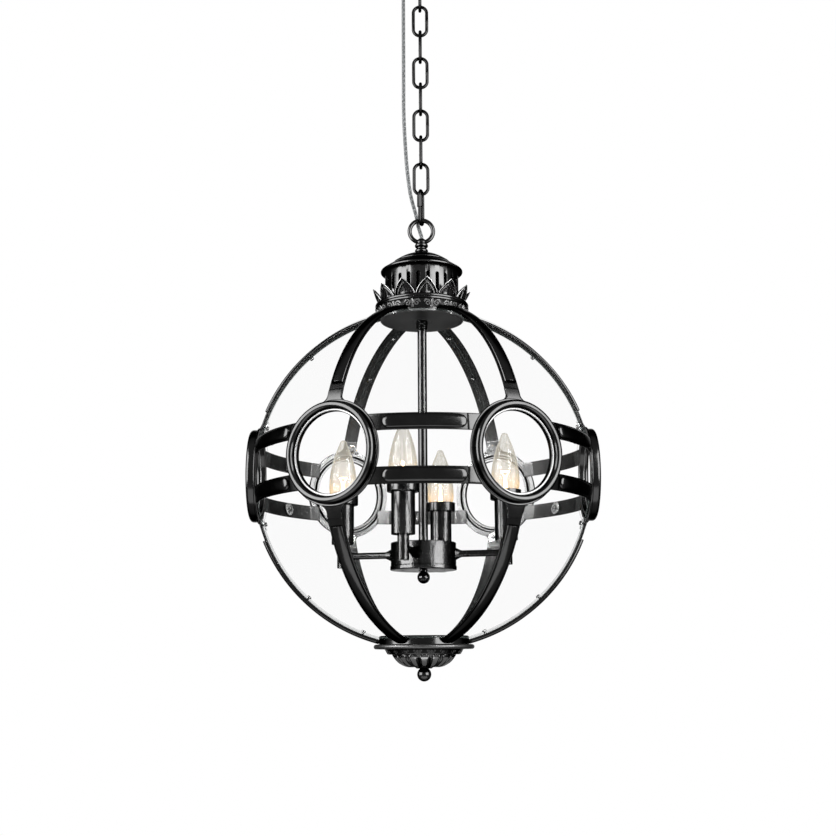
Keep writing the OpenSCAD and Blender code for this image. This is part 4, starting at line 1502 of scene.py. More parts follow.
@dataclass
class LanternFoot(SubAssembly):
    """The plate and flange that close the globe, the boss and its ball."""

    plate_r: float = 64.0
    flange_top: float = -242.0
    plate_h: float = 12.0
    flange_r: float = 71.5
    flange_h: float = 6.5
    tier_r: float = 55.6
    tier_h: float = 7.5
    dome_r: float = 44.7
    dome_h: float = 17.0
    dome_bow: float = 30.0
    dome_t: float = 1.5
    petals: int = 16
    petal_highlight_from: float = 0.24
    rubbed_to: float = 0.93
    neck_r: float = 13.5
    neck_h: float = 2.5
    ball_r: float = 10.0

    def build(self) -> None:
        """Makes the foot, from the plate down."""
        self.plate()
        self.flange()
        self.boss()
        self.ball()

    def plate(self) -> None:
        """The shallow upturned dish that the ribs end on."""
        r, low, high = self.plate_r, self.flange_top, self.flange_top + self.plate_h
        profile = (
            [(0, high)]
            + [(r - 20, high), (r - 19.6, high - 0.4), (r - 19.0, high - 0.4), (r - 18.6, high)]
            + arc((r - 2.0, high - 2.0), 2.0, 90, 0, 6)
            + [(r, low), (r - 3, low), (r - 3, high - 1.5), (0, high - 1.5)]
        )
        plate = Bench.lathe("lower_plate_pressed", profile, steps=WIDE)
        self.fit(plate, BLACK_NICKEL, ["lower_plate"])

    def flange(self) -> None:
        """The round-edged base flange."""
        r, high, t = self.flange_r, self.flange_top, self.flange_h
        low, edge = high - t, t / 2
        profile = (
            [(0, low), (r - 9.5, low), (r - 9.0, low + 0.5), (r - 8.2, low + 0.5), (r - 7.7, low)]
            + arc((r - edge, low + edge), edge, -90, 90, 14)
            + [(r - 6.0, high), (r - 6.6, high - 0.5), (0, high - 0.5)]
        )
        flange = Bench.lathe("lower_flange_turned", profile, steps=WIDE)
        self.fit(flange, BACK_NICKEL, ["lower_flange"])

    def boss(self) -> None:
        """The ornament tier and the dome of tongue-shaped petals."""
        tier = self.flange_top - self.flange_h
        low = tier - self.tier_h
        r = self.tier_r
        wall = [(0, tier), (r, tier), (r + 0.3, tier - 0.7), (r - 0.6, tier - 1.3)]
        wall += [(r - 4.0, low + 1.6)] + arc((r - 5.4, low + 1.2), 1.2, 10, -90, 4)
        wall += [(self.dome_r - 3, low), (0, low)]
        ring = Bench.lathe("tier", wall, steps=WIDE)
        over, under = r - 0.5, r - 4.9
        dome_at = bowed((self.dome_r, 0.0), (self.neck_r, -self.dome_h), self.dome_bow)

        def radius_at(height: float) -> float:
            """The radius of the tier's slope at a height."""
            return over + (under - over) * ((tier - height) / self.tier_h)

        frieze = ScrollFrieze(18, 6.8, 0.8, foot=low + 0.5, radius_at=radius_at)
        scrolls = frieze.build("tier_scrolls")

        def place(across: float, up: float) -> Point:
            """Takes shares across and up the dome to a place."""
            r0, z0 = dome_at(up)
            # a petal narrows towards the neck, and its head is round
            reach = 0.80 - 0.30 * max(0.0, up - 0.25)
            if up < 0.2:
                reach *= math.sqrt(max(0.0, 1 - ((0.2 - up) / 0.17) ** 2)) if up > 0.03 else 0.0
            gap = abs(self.petal_side(across)) - reach
            rim = max(0.0, 1 - (gap / 0.13) ** 2)
            dish = 0.5 if gap < -0.16 else 0.0
            relief = (0.9 * rim + dish * (1 - rim) - 0.9 * (gap > 0.16)) * min(1.0, (1 - up) * 6)
            out = r0 + relief * 0.8
            turn = across * 2 * math.pi
            return (out * math.cos(turn), out * math.sin(turn), low + z0 - relief * 0.6)

        dome = Bench.grid("dome", self.petals * 18, 26, place, wrap=True)
        Bench.face(dome, lambda centre: Vector((centre.x, centre.y, -0.03)))
        base = low - self.dome_h
        neck = [(0, base + 1), (self.neck_r - 0.4, base + 0.6), (self.neck_r + 0.3, base)]
        neck += [(self.neck_r - 0.6, base - 0.8), (self.neck_r - 2.8, base - self.neck_h)]
        neck += [(0, base - self.neck_h)]
        collar = Bench.lathe("neck", neck, steps=64)
        # the dome is a shell whose rim is sunk in the tier and whose mouth in the neck
        Bench.thicken(dome, self.dome_t, -1)
        boss = Bench.join("lower_boss_cast", [ring, scrolls, dome, collar])
        self.fit(boss, BLACK_NICKEL, ["lower_boss"], smooth=50)

        def petal_has_painted_highlight(face: Face) -> bool:
            """Whether a face is on the back of a petal, where a highlight is painted."""
            x, y, z = (c / MM for c in face.center)
            down = (low + self.lift - z) / self.dome_h
            if not self.petal_highlight_from < down < self.rubbed_to:
                return False
            if math.hypot(x, y) <= self.neck_r + 1:
                return False
            side = self.petal_side(math.atan2(y, x) / (2 * math.pi))
            return abs(side) < 0.58 - 0.22 * down

        # the backs of the petals wear the paler plate as a painted highlight, for the light that
        # they catch facing down
        self.dress(boss, HIGHLIGHT_PAINTED_NICKEL, petal_has_painted_highlight)

    def petal_side(self, share: float) -> float:
        """Where a share of the turn falls in its petal, from -1 to 1 across it."""
        step = share * self.petals + 0.5
        return 2 * (step - math.floor(step)) - 1

    def ball(self) -> None:
        """The ball finial, flat where it is screwed up to its collar."""
        seat = self.flange_top - self.flange_h - self.tier_h - self.dome_h - self.neck_h
        flat = math.degrees(math.asin((self.ball_r - 2) / self.ball_r))
        centre = seat + 2 - self.ball_r
        profile = arc((0, centre), self.ball_r, -90, flat, 28)
        profile = [(0, centre - self.ball_r)] + profile[1:] + [(0, seat)]
        ball = Bench.lathe("lower_finial_turned", profile, steps=64)
        self.fit(ball, BLACK_NICKEL, ["lower_finial"], smooth=60)


# The lamps


@dataclass
class LampCluster(SubAssembly):
    """The stem, the hub and the four arms with their candles."""

    stem_r: float = 6.8
    stem_top: float = 220.0
    nut_r: float = 8.5
    hub_top: float = -98.0
    hub_r: float = 47.0
    hub_h: float = 39.5
    lid_h: float = 6.0
    ball_r: float = 9.0
    arm_z: float = -115.0
    arm_r: float = 4.8
    reach: float = 121.0
    first: float = -13.5
    post_r: float = 8.0
    post_low: float = -132.0
    sleeve_low: float = -97.5
    sleeve_r: float = 16.3
    cup_low: float = -40.0
    cup_top: float = -26.0
    cup_r: float = 22.2
    hole_r: float = 3.2
    holder_r: float = 13.5
    bulb_r: float = 20.6
    bulb_up: float = 24.0
    bulb_h: float = 68.0
    bulb_t: float = 0.7
    tip_r: float = 5.4
    filament_up: float = 41.0

    def spot(self, i: int) -> Matrix:
        """The turn that takes +X to candle i."""
        return turned_z(self.first + 90 * i)

    def build(self) -> None:
        """Makes the cluster, from the stem to the bulbs."""
        self.stem()
        self.hub()
        for i in range(4):
            self.arm(i)
            self.sleeve(i)
            self.bulb(i)
        self.holders()

    def stem(self) -> None:
        """The tube that hangs the hub, and the nut that takes it up."""
        r, low, high, flare = self.stem_r, self.hub_top, self.stem_top, self.stem_r + 2.2
        profile = [(r - 1.5, low), (flare, low), (flare, low + 1.2), (r + 1.4, low + 2.0)]
        profile += [(r, low + 2.6), (r, high - 0.4), (r - 0.4, high), (r - 1.5, high)]
        stem = Bench.lathe("stem_drawn", profile, steps=48, closed=True)
        self.fit(stem, BLACK_NICKEL, ["stem"])
        z, r = self.stem_top, self.nut_r
        profile = [(0, z), (r - 1.0, z), (r, z + 1.0), (r, z + 4.4), (r - 0.6, z + 5.0)]
        profile += [(r - 0.6, z + 6.0), (r, z + 6.6), (r, z + 11.4), (r - 0.6, z + 12)]
        profile += [(0, z + 12)]
        nut = Bench.lathe("stem_nut_turned", profile, steps=48)
        self.fit(nut, BLACK_NICKEL, ["stem_nut"])

    def hub(self) -> None:
        """The drum that the wires meet in, its lid and its ball."""
        r, high = self.hub_r, self.hub_top
        seam = high - self.hub_h + self.lid_h
        body = (
            [(0, high)]
            + arc((r - 1.4, high - 1.4), 1.4, 90, 0, 5)
            + [(r, seam + 0.5), (r - 0.5, seam), (r - 2.0, seam), (r - 2.0, high - 2)]
            + [(0, high - 2)]
        )
        self.fit(Bench.lathe("hub_body_spun", body, steps=WIDE), SPUN_NICKEL, ["hub_body"])
        low, out = seam - self.lid_h, r + 0.8
        lid = (
            [(0, low), (30, low), (30.4, low + 0.4), (31.0, low + 0.4), (31.4, low)]
            + arc((out - 1.4, low + 1.4), 1.4, -90, 0, 5)
            + [(out, seam - 0.5), (out - 0.5, seam), (r - 2, seam), (r - 2, low + 2)]
            + [(0, low + 2)]
        )
        self.fit(Bench.lathe("hub_lid_spun", lid, steps=WIDE), SPUN_NICKEL, ["hub_lid"])
        r, centre = self.ball_r, low - 10.0
        profile = [(0, centre - r)] + arc((0, centre), r, -90, 58, 22)[1:]
        profile += [(5.0, low - 2.0), (6.4, low - 1.2), (6.4, low), (0, low)]
        finial = Bench.lathe("hub_finial_turned", profile, steps=56)
        self.fit(finial, BLACK_NICKEL, ["hub_finial"], smooth=60)

    def arm(self, i: int) -> None:
        """An arm with its ferrule at the hub and its upright tube."""
        start, r, end = self.hub_r + CLEAR, self.arm_r, self.reach - 4
        bar = [(0, start), (8.3, start), (8.5, start + 1.0), (7.9, start + 2.2)]
        bar += [(6.2, start + 5.5), (r + 0.2, start + 8.4), (r, start + 9.4), (r, end), (0, end)]
        arm = Bench.lathe("bar", bar, steps=32)
        Bench.move(arm, Matrix.Translation((0, 0, self.arm_z * MM)) @ STAND)
        r, low, high = self.post_r, self.post_low, self.sleeve_low
        post = [(0, low), (r - 1.2, low)] + arc((r - 0.8, low + 0.8), 0.8, -90, 0, 4)
        post += [(r, high), (r - 1.5, high), (r - 1.5, low + 6), (0, low + 6)]
        tube = Bench.shift(Bench.lathe("post", post, steps=48), self.reach, 0, 0)
        Bench.fuse(arm, tube)
        arm.name = f"lamp_arm_{i + 1}_tube"
        Bench.move(arm, self.spot(i))
        self.fit(arm, BLACK_NICKEL, [f"lamp_arm_{i + 1}"])

    def sleeve(self, i: int) -> None:
        """A candle sleeve with its drip cup."""
        r, low, wall = self.sleeve_r, self.sleeve_low, 1.3
        cup, z, top = self.cup_r, self.cup_low, self.cup_top
        profile = (
            [(self.hole_r, low), (r - 0.9, low)]
            + arc((r - 0.7, low + 0.7), 0.7, -90, 0, 3)
            + [(r, z - 0.8), (r + 0.8, z)]
            + arc((cup - 1.6, z + 1.6), 1.6, -90, 0, 5)
            + [(cup, top - 1.2), (cup + 0.25, top - 0.9), (cup + 0.25, top - 0.3)]
            + [(cup - 0.1, top), (cup - wall, top), (cup - wall, z + 2.0), (r - wall, z + 2.0)]
            + [(r - wall, low + wall), (self.hole_r, low + wall)]
        )
        sleeve = Bench.lathe(f"candle_sleeve_{i + 1}_drawn", profile, steps=72, closed=True)
        Bench.move(Bench.shift(sleeve, self.reach, 0, 0), self.spot(i))
        self.fit(sleeve, SPUN_NICKEL, [f"candle_sleeve_{i + 1}"])

    def holders(self) -> None:
        """The screw sockets in the sleeves."""
        low, z, r = self.sleeve_low + 1.3, self.cup_low, self.holder_r
        profile = [(self.hole_r, low), (r - 0.5, low), (r, low + 0.5), (r, z - 1.0)]
        profile += [(r - 1.0, z), (7.6, z), (7.2, z - 0.6)]
        profile += ridges(z - 2.0, z - 27.0, (7.25, 7.55), -2.0, -1.0)
        profile += [(self.hole_r, z - 28.5)]
        holder = Bench.lathe("holder", profile, steps=40, closed=True)
        Bench.shift(holder, self.reach, 0, 0)
        holders = Bench.repeat("lamp_holders_moulded", holder, [self.spot(i) for i in range(4)])
        self.fit(holders, THERMOSET, ["lamp_holders"], slot="holder_plastic")

    def envelope(self, inset: float) -> list[Flat]:
        """The lamp glass's outline from its neck to its tip, drawn in by inset."""
        z, belly, rise = self.cup_low, self.cup_low + self.bulb_up, self.bulb_h
        r, tip = self.bulb_r - inset, self.tip_r - inset / 2
        bow = ((r - tip) ** 2 + rise**2) / (2 * (r - tip))
        low = [(9.0 - inset, z + 0.3), (9.2 - inset, z + 2.0), (11.4 - inset, z + 5.0)]
        low += [(15.4 - inset, z + 10.0), (18.4 - inset, z + 14.5), (20.0 - inset, z + 19.0)]
        steps = 24
        heights = [rise * k / steps for k in range(steps)]
        side = [(r - bow + math.sqrt(bow**2 - up**2), belly + up) for up in heights]
        nose = arc((0, belly + rise), tip, 6, 90, 6)
        return low + side + nose[:-1] + [(0.0, nose[-1][1])]

    def bulb(self, i: int) -> None:
        """A candle lamp: its glass, lit stem, filament and screw cap."""
        where = f"bulb_{i + 1}"
        skin = self.envelope(0.0) + self.envelope(self.bulb_t)[::-1]
        glass = Bench.lathe(f"{where}_glass", skin, steps=48, closed=True)
        z = self.cup_low
        cap = [(0, z - 25.9), (2.2, z - 25.8), (2.6, z - 24.6), (4.6, z - 23.6), (6.2, z - 22.4)]
        cap += ridges(z - 22.0, z - 4.0, (6.35, 6.85), 2.0, 1.0)
        cap += [(6.4, z - 2.4), (6.4, z - 0.6), (8.0, z + 0.1), (8.0, z + 1.8), (0, z + 1.8)]
        screw = Bench.lathe(f"{where}_cap", cap, steps=40)
        stem = [(0, z + 1.9), (6.4, z + 1.9), (5.0, z + 8), (3.4, z + 16), (2.4, z + 29)]
        stem += [(2.9, z + 34), (0, z + 35.5)]
        mount = Bench.lathe(f"{where}_stem", stem, steps=24)
        filament = self.filament(f"{where}_filament", z + self.filament_up)
        for piece, finish, stands_for, smooth in (
            (glass, BULB_GLASS, [where], 60),
            (screw, PLATED_CAP, [], 32),
            (mount, LIT_STEM, [], 60),
            (filament, TUNGSTEN, [], 60),
        ):
            Bench.move(Bench.shift(piece, self.reach, 0, 0), self.spot(i))
            self.fit(piece, finish, stands_for, body=where, slot="bulb_glass", smooth=smooth)

    def filament(self, name: str, height: float) -> Piece:
        """The coil that lies across a lamp, and the two leads that hold it up.

        Args:
            name: the object's name.
            height: the height of the coil.

        Returns:
            The wires as one object.
        """
        half, coil_r, turns, steps = 6, 0.8, 10, 80
        coil = []
        for k in range(steps + 1):
            turn = 2 * math.pi * turns * k / steps
            along = -half + 2 * half * k / steps
            coil.append((along, coil_r * math.cos(turn), height + coil_r * math.sin(turn)))
        wires = [Bench.bar("coil", coil, 0.28, sides=6)]
        for hand in (-1, 1):
            lead = [(hand * 1.0, 0, height - 8), (hand * 3.4, 0, height - 4)]
            lead += [(hand * 6.0, 0, height)]
            wires.append(Bench.bar("lead", lead, 0.25, sides=6))
        return Bench.join(name, wires)


# The suspension


@dataclass
class Chain(SubAssembly):
    """The links, the quick link and its screw sleeve."""

    lift: float = 0.0
    slot: str = "chain_metal"
    wire: float = 2.5
    bend: float = 10.5
    span: float = 49.0
    first_z: float = -88.15
    step: float = 43.7
    links: int = 8
    quick_z: float = -439.75
    quick_bend: float = 9.5
    quick_span: float = 53.0
    quick_turn: float = 75.0
    nut_top: float = 16.0
    nut_len: float = 18.0
    nut_r: float = 4.0
    bore_r: float = 2.55

    def oval(self, name: str, bend: float, span: float, seam: float) -> Piece:
        """A wire oval upright in the XZ plane, with a small weld on one side.

        Args:
            name: the object's name.
            bend: the radius of its ends, to the middle of the wire.
            span: its height between the middles of the wire.
            seam: how far the weld stands proud, as a share of the wire.

        Returns:
            The oval about the origin.
        """
        oval = Bench.ring(bend, self.wire, (48, 18))
        stretch = (span / 2 - bend) * MM
        for vertex in oval.data.vertices:
            if abs(vertex.co.z) > 1e-6:
                vertex.co.z += math.copysign(stretch, vertex.co.z)
        if seam:
            Bench.pick(oval)
            for height in (-1.4, -0.7, 0.7, 1.4):
                bpy.ops.object.mode_set(mode="EDIT")
                bpy.ops.mesh.select_all(action="SELECT")
                bpy.ops.mesh.bisect(plane_co=(0, 0, height * MM), plane_no=(0, 0, 1))
                bpy.ops.object.mode_set(mode="OBJECT")
            for vertex in oval.data.vertices:
                if vertex.co.x > 0 and abs(vertex.co.z) < 0.8 * MM:
                    proud = seam * (1 - (vertex.co.z / (1.0 * MM)) ** 2 * 0.7)
                    off = vertex.co - Vector((bend * MM, 0, vertex.co.z))
                    vertex.co += off * proud
        oval.name = name
        return oval

    def build(self) -> None:
        """Makes the chain from the top down."""
        for i in range(self.links):
            link = self.oval(f"chain_link_{i + 1}_wire", self.bend, self.span, 0.07)
            if i % 2 == 0:
                Bench.move(link, Matrix.Rotation(math.radians(90), 4, "Z"))
            Bench.shift(link, 0, 0, self.first_z - i * self.step)
            self.fit(link, CHAIN_NICKEL, [f"chain_link_{i + 1}"], body=f"chain_link_{i + 1}")
        self.quick()

    def quick(self) -> None:
        """The quick link with its thread, and the sleeve that closes it."""
        turn = Matrix.Rotation(math.radians(self.quick_turn), 4, "Z")
        turn = Matrix.Translation((0, 0, self.quick_z * MM)) @ turn
        oval = self.oval("quick_link_wire", self.quick_bend, self.quick_span, 0.0)
        side = -self.quick_bend
        Bench.cut(oval, Bench.block((8, 8, 9), (side, 0, 11)))
        low, high, crest = -11.0, 6.5, 2.46
        grooves = [(0.0, low), (crest, low)] + ridges(low + 0.4, 6.0, (crest, 2.2), 0.8, 0.4)
        grooves += [(2.3, high), (0.0, high)]
        thread = Bench.shift(Bench.lathe("thread", grooves, steps=28), side, 0, 0)
        corners = [(2.7, low), (2.45, low + 0.4), (2.45, high + 0.1), (4, high + 0.1), (4, low)]
        trim = Bench.lathe("trim", corners, 28, True)
        Bench.cut(oval, Bench.shift(trim, side, 0, 0))
        link = Bench.join("quick_link_wire", [oval, thread])
        Bench.move(link, turn)
        self.fit(link, CHAIN_NICKEL, ["quick_link"], body="quick_link")
        r, high = self.nut_r, self.nut_top
        low = high - self.nut_len
        nut = Bench.lathe("nut", [(0, low), (r, low), (r, high), (0, high)], steps=6)
        Bench.cut(nut, self.chamfer(r, high, 1))
        Bench.cut(nut, self.chamfer(r, low, -1))
        r = self.bore_r
        bore = [(0, low - 1), (r, low - 1), (r, high + 1), (0, high + 1)]
        Bench.cut(nut, Bench.lathe("bore", bore, 32))
        nut.name = "quick_link_nut_milled"
        Bench.move(Bench.shift(nut, side, 0, 0), turn)
        self.fit(nut, CHAIN_NICKEL, ["quick_link_nut"], body="quick_link_nut")

    def chamfer(self, radius: float, end: float, side: int) -> Piece:
        """The ring that takes the corners off one end of a hexagon."""
        near, far = end - side * 1.0, end + side * 1.0
        points = [(radius + 0.2, near), (radius - 1.0, far), (radius + 3, far), (radius + 3, near)]
        return Bench.lathe("chamfer", points, 48, True)


@dataclass
class CeilingMount(SubAssembly):
    """What is fixed to the ceiling: bracket, canopy, loop and cord grip."""

    body: str = "ceiling_mount"
    lift: float = 0.0
    radius: float = 60.0
    depth: float = 28.0
    corner: float = 22.0
    wall: float = 1.5
    loop_z: float = -52.0
    loop_r: float = 17.7
    loop_wire: float = 3.25
    grip_x: float = -26.0
    grip_r: float = 6.0
    cord_hole_r: float = 3.1
    bar_size: Point = (110.0, 20.0, 3.0)
    screw_pitch: float = 88.9
    screw_r: float = 2.5
    tube_r: float = 5.0
    neck_r: float = 12.0

    def build(self) -> None:
        """Makes the mount from the ceiling down."""
        self.bracket()
        self.canopy()
        self.loop()
        self.grip()

    def bracket(self) -> None:
        """The punched cross bar and the threaded tube with its nut."""
        bar = Bench.block(self.bar_size, (0, 0, -self.bar_size[2] / 2))
        apart = self.screw_pitch / 2
        for x, r in ((0.0, self.tube_r + 0.05), (apart, self.screw_r), (-apart, self.screw_r)):
            tool = Bench.lathe("hole", [(0, -5), (r, -5), (r, 2), (0, 2)], 40)
            Bench.cut(bar, Bench.shift(tool, x, 0, 0))
        Bench.soften(bar, 0.5, 2, 60)
        bar.name = "ceiling_bracket_punched"
        self.fit(bar, ZINC, ["ceiling_bracket"], slot="zinc_steel")
        low, r = -self.depth - 2.8, self.tube_r
        points = [(r - 1.5, low), (r - 0.5, low)]
        points += ridges(low + 0.5, -1.0, (r - 0.4, r), 1.0, 0.5)
        points += [(r - 0.5, 0), (r - 1.5, 0)]
        tube = Bench.lathe("tube", points, 32, True)
        nut = Bench.lathe("nut", [(5.02, -8), (9, -8), (9, -3.0), (5.02, -3.0)], 6, True)
        nipple = Bench.join("ceiling_nipple_threaded", [tube, nut])
        self.fit(nipple, ZINC, ["ceiling_nipple"], slot="zinc_steel")

    def canopy(self) -> None:
        """The pressed canopy with a rolled rim and the hole for the cord."""
        r, d, c, t = self.radius, self.depth, self.corner, self.wall
        outer = [(5.1, -d), (r - c, -d)] + arc((r - c, c - d), c, -90, 0, 16)[1:]
        outer += [(r, -2.4), (r + 0.5, -1.8), (r + 0.5, -0.6), (r, 0)]
        inner = [(r - t, 0), (r - t, c - d)] + arc((r - c, c - d), c - t, 0, -90, 16)[1:]
        inner += [(5.1, -d + t)]
        canopy = Bench.lathe("canopy_pressed", outer + inner, steps=WIDE, closed=True)
        hole = self.cord_hole_r
        tool = Bench.lathe("hole", [(0, -d - 4), (hole, -d - 4), (hole, -d + 6), (0, -d + 6)], 32)
        Bench.cut(canopy, Bench.shift(tool, self.grip_x, 0, 0))
        self.fit(canopy, SPUN_NICKEL, ["canopy"])

    def loop(self) -> None:
        """The loop under the canopy on its turned collar."""
        loop = Bench.ring(self.loop_r, self.loop_wire, (72, 20), self.loop_z)
        z, r = -self.depth, self.neck_r
        profile = [(0, z - 2.8), (5.1, z - 2.8), (5.1, z), (r, z), (r, z - 2.2)]
        profile += [(r - 0.7, z - 3.0), (r, z - 3.8)] + arc((r - 2.0, z - 6.0), 2.0, 0, -90, 5)
        profile += [(0, z - 8.0)]
        Bench.fuse(loop, Bench.lathe("collar", profile, steps=64))
        loop.name = "canopy_loop_turned"
        self.fit(loop, BLACK_NICKEL, ["canopy_loop"])

    def grip(self) -> None:
        """The gland that the cord leaves the canopy through."""
        z = -self.depth
        r, waist = self.grip_r, self.grip_r - 0.6
        profile = [(0, z), (r, z), (r, z - 3.0), (waist, z - 3.4), (waist, z - 4.4), (r, z - 4.8)]
        profile += [(r, z - 10.0)] + arc((r - 1.6, z - 10.4), 1.6, 0, -90, 4)
        profile += [(3.2, z - 12.0), (0, z - 11.0)]
        grip = Bench.shift(Bench.lathe("cord_grip_turned", profile, steps=40), self.grip_x, 0, 0)
        self.fit(grip, DARK_STEEL, ["cord_grip"], slot="dark_metal")


@dataclass
class SupplyCord:
    """The clear cord that follows the chain, in one stretch for each joint."""

    diameter: float = 5.6
    core: float = 1.1
    twist: float = 16.0
    core_step: float = 1.6
    margin: float = 1.5
    route: tuple[Point, ...] = (
        *((-26, 0, z) for z in (-40, -90, -150, -220, -285)),
        (-24, 0, -335),
        (-21, 0, -380),
        (-16, 1, -419),
        (-9, 5, -446),
        (-6, 7, -458),
        (-5, 6.5, -466),
        (-2, 3, -478),
        (0, 0, -486),
        (0, 0, -491.8),
    )
    cuts: tuple[float, ...] = (-91.0, *(-134.5 - 43.7 * k for k in range(7)), -442.4)

    def smooth_route(self) -> list[Vector]:
        """The route with more points on the smooth curve through it, in millimetres."""
        knots = [Vector(p) for p in self.route]
        points, steps = [], 12
        last = len(knots) - 1
        for i in range(last):
            a, b = knots[max(i - 1, 0)], knots[i]
            c, d = knots[i + 1], knots[min(i + 2, last)]
            for k in range(steps):
                t = k / steps
                points.append(
                    b
                    + (c - a) * t / 2
                    + (a * 2 - b * 5 + c * 4 - d) * t**2 / 2
                    + (b * 3 - a - c * 3 + d) * t**3 / 2
                )
        return points + [knots[last]]

    def stretches(self) -> list[list[Vector]]:
        """The route cut at the middles between the joints."""
        points = self.smooth_route()
        marks = [points[0].z, *self.cuts, points[-1].z]
        runs = []
        for high, low in zip(marks, marks[1:]):
            inside = [p for p in points if low + self.margin < p.z < high - self.margin]
            runs.append([self.at(points, high), *inside, self.at(points, low)])
        return runs

    @staticmethod
    def at(points: Sequence[Vector], height: float) -> Vector:
        """The point of the route at a height."""
        for a, b in zip(points, points[1:]):
            if b.z <= height <= a.z:
                return a.lerp(b, (a.z - height) / (a.z - b.z))
        return points[-1]

    def cores(self, name: str, run: Sequence[Vector], start: float) -> Piece:
        """The two twisted cores inside a stretch.

        Args:
            name: the object's name.
            run: the stretch's points.
            start: how far along the whole cord it starts.

        Returns:
            The cores.
        """
        parts = []
        for phase in (0.0, math.pi):
            points, far = [], start
            for a, b in zip(run, run[1:]):
                along = (b - a).normalized()
                side = along.cross(Vector((0, 1, 0))).normalized()
                other = along.cross(side)
                steps = max(1, round((b - a).length / self.core_step))
                for k in range(steps):
                    place = a.lerp(b, k / steps)
                    turn = 2 * math.pi * (far + (place - a).length) / self.twist + phase
                    off = side * math.cos(turn) + other * math.sin(turn)
                    points.append(tuple(place + self.core * off))
                far += (b - a).length
            parts.append(Bench.bar("core", points, self.core * 0.95, sides=8))
        return Bench.join(name, parts)

    def build(self) -> None:
        far = 0.0
        for i, run in enumerate(self.stretches()):
            path = [tuple(p * MM) for p in run]
            length = sum((b - a).length for a, b in zip(run, run[1:]))
            line = [tuple(p) for p in run]
            sheath = Bench.bar(f"supply_cord_{i + 1}", line, self.diameter / 2, sides=16)
            cores = self.cores(f"supply_cord_cores_{i + 1}", run, far)
            for piece, finish in ((sheath, PVC), (cores, TINNED)):
                Bench.smooth(piece, 60)
                piece.data.materials.clear()
                piece.data.materials.append(finish.material())
                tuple(path[0])
                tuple(path[-1])
                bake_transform(piece)
            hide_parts("supply_cord")
            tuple(path[0])
            far += length
            LOG.info("supply_cord_%d: %.1f mm", i + 1, length)


# The studio


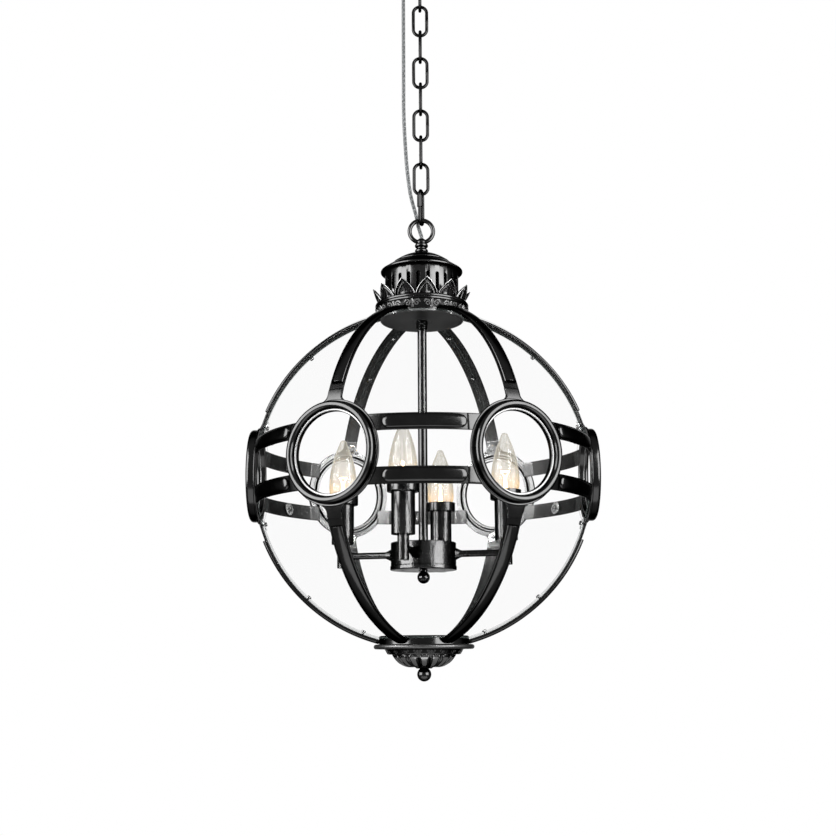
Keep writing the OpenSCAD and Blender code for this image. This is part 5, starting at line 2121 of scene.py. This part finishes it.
@dataclass
class Studio:
    """The camera, the lamps, the pale floor and the white behind everything."""

    distance: float = 1775.35
    drop: float = 263.13
    pitch: float = 0.1938
    pan: float = 0.003785
    yaw: float = 0.009914
    roll: float = -0.00581
    lens: float = 53.024
    floor_z: float = -2.4
    floor_r: float = 3.0
    floor_white: float = 0.7
    floor_fade: Flat = (0.3, 0.97)
    world_light: float = 0.55

    def camera(self) -> None:
        """Puts the camera where the photograph was taken from."""
        data = bpy.data.cameras.new("camera")
        data.lens, data.sensor_width = self.lens, 36.0
        data.clip_start, data.clip_end = 0.01, 50.0
        camera = bpy.data.objects.new("camera", data)
        bpy.context.scene.collection.objects.link(camera)
        place = Vector(
            (
                -math.sin(self.yaw) * self.distance,
                -math.cos(self.yaw) * self.distance,
                GLOBE_Z - self.drop,
            )
        )
        turn = self.yaw - self.pan
        level = Vector((math.sin(turn), math.cos(turn), 0))
        up = Vector((0, 0, 1))
        ahead = level * math.cos(self.pitch) + up * math.sin(self.pitch)
        above = up * math.cos(self.pitch) - level * math.sin(self.pitch)
        right = ahead.cross(above)
        tilted_right = right * math.cos(self.roll) + above * math.sin(self.roll)
        tilted_up = above * math.cos(self.roll) - right * math.sin(self.roll)
        axes = Matrix((tilted_right, tilted_up, -ahead)).transposed().to_4x4()
        camera.matrix_world = Matrix.Translation(place * MM) @ axes
        bpy.context.scene.camera = camera

    def softbox(self, name: str, place: Point, size: Flat, power: float, seen: bool) -> None:
        """Adds a lamp that faces the globe.

        Args:
            name: the lamp's name.
            place: where it stands, in metres from the globe's middle.
            size: its width and height in metres.
            power: its power in watts.
            seen: True where it only shows in glossy and clear surfaces, False where it
                only lights.
        """
        data = bpy.data.lights.new(name, "AREA")
        data.shape, data.size, data.size_y, data.energy = "RECTANGLE", *size, power
        lamp = bpy.data.objects.new(name, data)
        bpy.context.scene.collection.objects.link(lamp)
        lamp.location = CENTRE + Vector(place)
        lamp.rotation_euler = (-Vector(place)).to_track_quat("-Z", "Y").to_euler()
        lamp.visible_camera = False
        lamp.visible_diffuse = not seen
        lamp.visible_glossy = seen
        lamp.visible_transmission = seen

    def build(self) -> None:
        """Sets the lamps, the world and the floor."""
        scene = bpy.context.scene
        scene.view_settings.view_transform = "Standard"
        self.softbox("left_box", (-1.95, -1.02, 0.52), (2.0, 2.35), 565, True)
        self.softbox("right_box", (1.68, -1.42, 0.52), (1.9, 2.35), 530, True)
        self.softbox("low_box", (0.0, -0.6, -1.45), (2.6, 1.7), 85, True)
        for side, x in (("left", -1.6), ("right", 1.6)):
            self.softbox(f"fill_{side}", (x, -1.6, 0.9), (1.2, 1.6), 30, False)
        self.world(scene)
        self.floor()

    def world(self, scene: bpy.types.Scene) -> None:
        """White where it is seen, mirrored or looked through, and softer as a lamp."""
        world = bpy.data.worlds.new("white_studio")
        world.use_nodes = True
        tree = world.node_tree
        tree.nodes.clear()
        strength = add_node(
            tree,
            "ShaderNodeMapRange",
            {"To Min": self.world_light, "To Max": 1.0},
            {"Value": self.seen(tree)},
        )
        light = add_node(
            tree,
            "ShaderNodeBackground",
            {"Color": (1, 1, 1, 1)},
            {"Strength": strength.outputs["Result"]},
        )
        add_node(tree, "ShaderNodeOutputWorld", links={"Surface": light.outputs["Background"]})
        scene.world = world

    @staticmethod
    def seen(tree: Tree) -> Socket:
        """Returns 1 for camera, glossy and transmission rays."""
        path = add_node(tree, "ShaderNodeLightPath").outputs
        most = {"operation": "MAXIMUM"}
        rays = {0: path["Is Camera Ray"], 1: path["Is Glossy Ray"]}
        either = add_node(tree, "ShaderNodeMath", most, rays)
        rays = {0: either.outputs[0], 1: path["Is Transmission Ray"]}
        return add_node(tree, "ShaderNodeMath", most, rays).outputs[0]

    def floor(self) -> None:
        """A pale round floor, well below the lantern, that keeps its shadow."""
        bpy.ops.object.select_all(action="DESELECT")
        bpy.ops.mesh.primitive_circle_add(
            vertices=96, radius=self.floor_r, fill_type="NGON", location=(0, 0, self.floor_z)
        )
        floor = bpy.context.object
        floor.name = "studio_floor"
        paint = bpy.data.materials.new("pale_floor")
        paint.use_nodes = True
        tree = paint.node_tree
        tree.nodes.clear()
        matt = add_node(tree, "ShaderNodeBsdfDiffuse", {"Color": linear("#f2f2f0")})
        white = add_node(tree, "ShaderNodeEmission", {"Color": (1, 1, 1, 1), "Strength": 1.0})
        place = add_node(tree, "ShaderNodeTexCoord").outputs["Object"]
        away = add_node(tree, "ShaderNodeVectorMath", {"operation": "LENGTH"}, {"Vector": place})
        # towards its rim the floor goes over into the white behind it
        fade = add_node(
            tree,
            "ShaderNodeMapRange",
            {
                "interpolation_type": "SMOOTHSTEP",
                "From Min": self.floor_fade[0] * self.floor_r,
                "From Max": self.floor_fade[1] * self.floor_r,
                "To Min": self.floor_white,
                "To Max": 1.0,
            },
            {"Value": away.outputs["Value"]},
        )
        share = add_node(
            tree,
            "ShaderNodeMath",
            {"operation": "MULTIPLY"},
            {0: self.seen(tree), 1: fade.outputs["Result"]},
        )
        layers = {0: share.outputs[0], 1: matt.outputs["BSDF"], 2: white.outputs["Emission"]}
        both = add_node(tree, "ShaderNodeMixShader", links=layers)
        add_node(tree, "ShaderNodeOutputMaterial", links={"Surface": both.outputs[0]})
        floor.data.materials.append(paint)


def main() -> None:
    """Builds everything round the frame, in order."""
    logging.basicConfig(level=logging.INFO, format="%(name)s %(message)s")
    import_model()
    studio = Studio()
    studio.camera()
    SupplyCord().build()
    for part in (
        Chain(),
        CeilingMount(),
        GlobeFrame(),
        GlassPanels(),
        LanternTop(),
        LanternFoot(),
        LampCluster(),
    ):
        LOG.info("%s", type(part).__name__)
        part.build()
    studio.build()


if __name__ == "__main__":
    main()
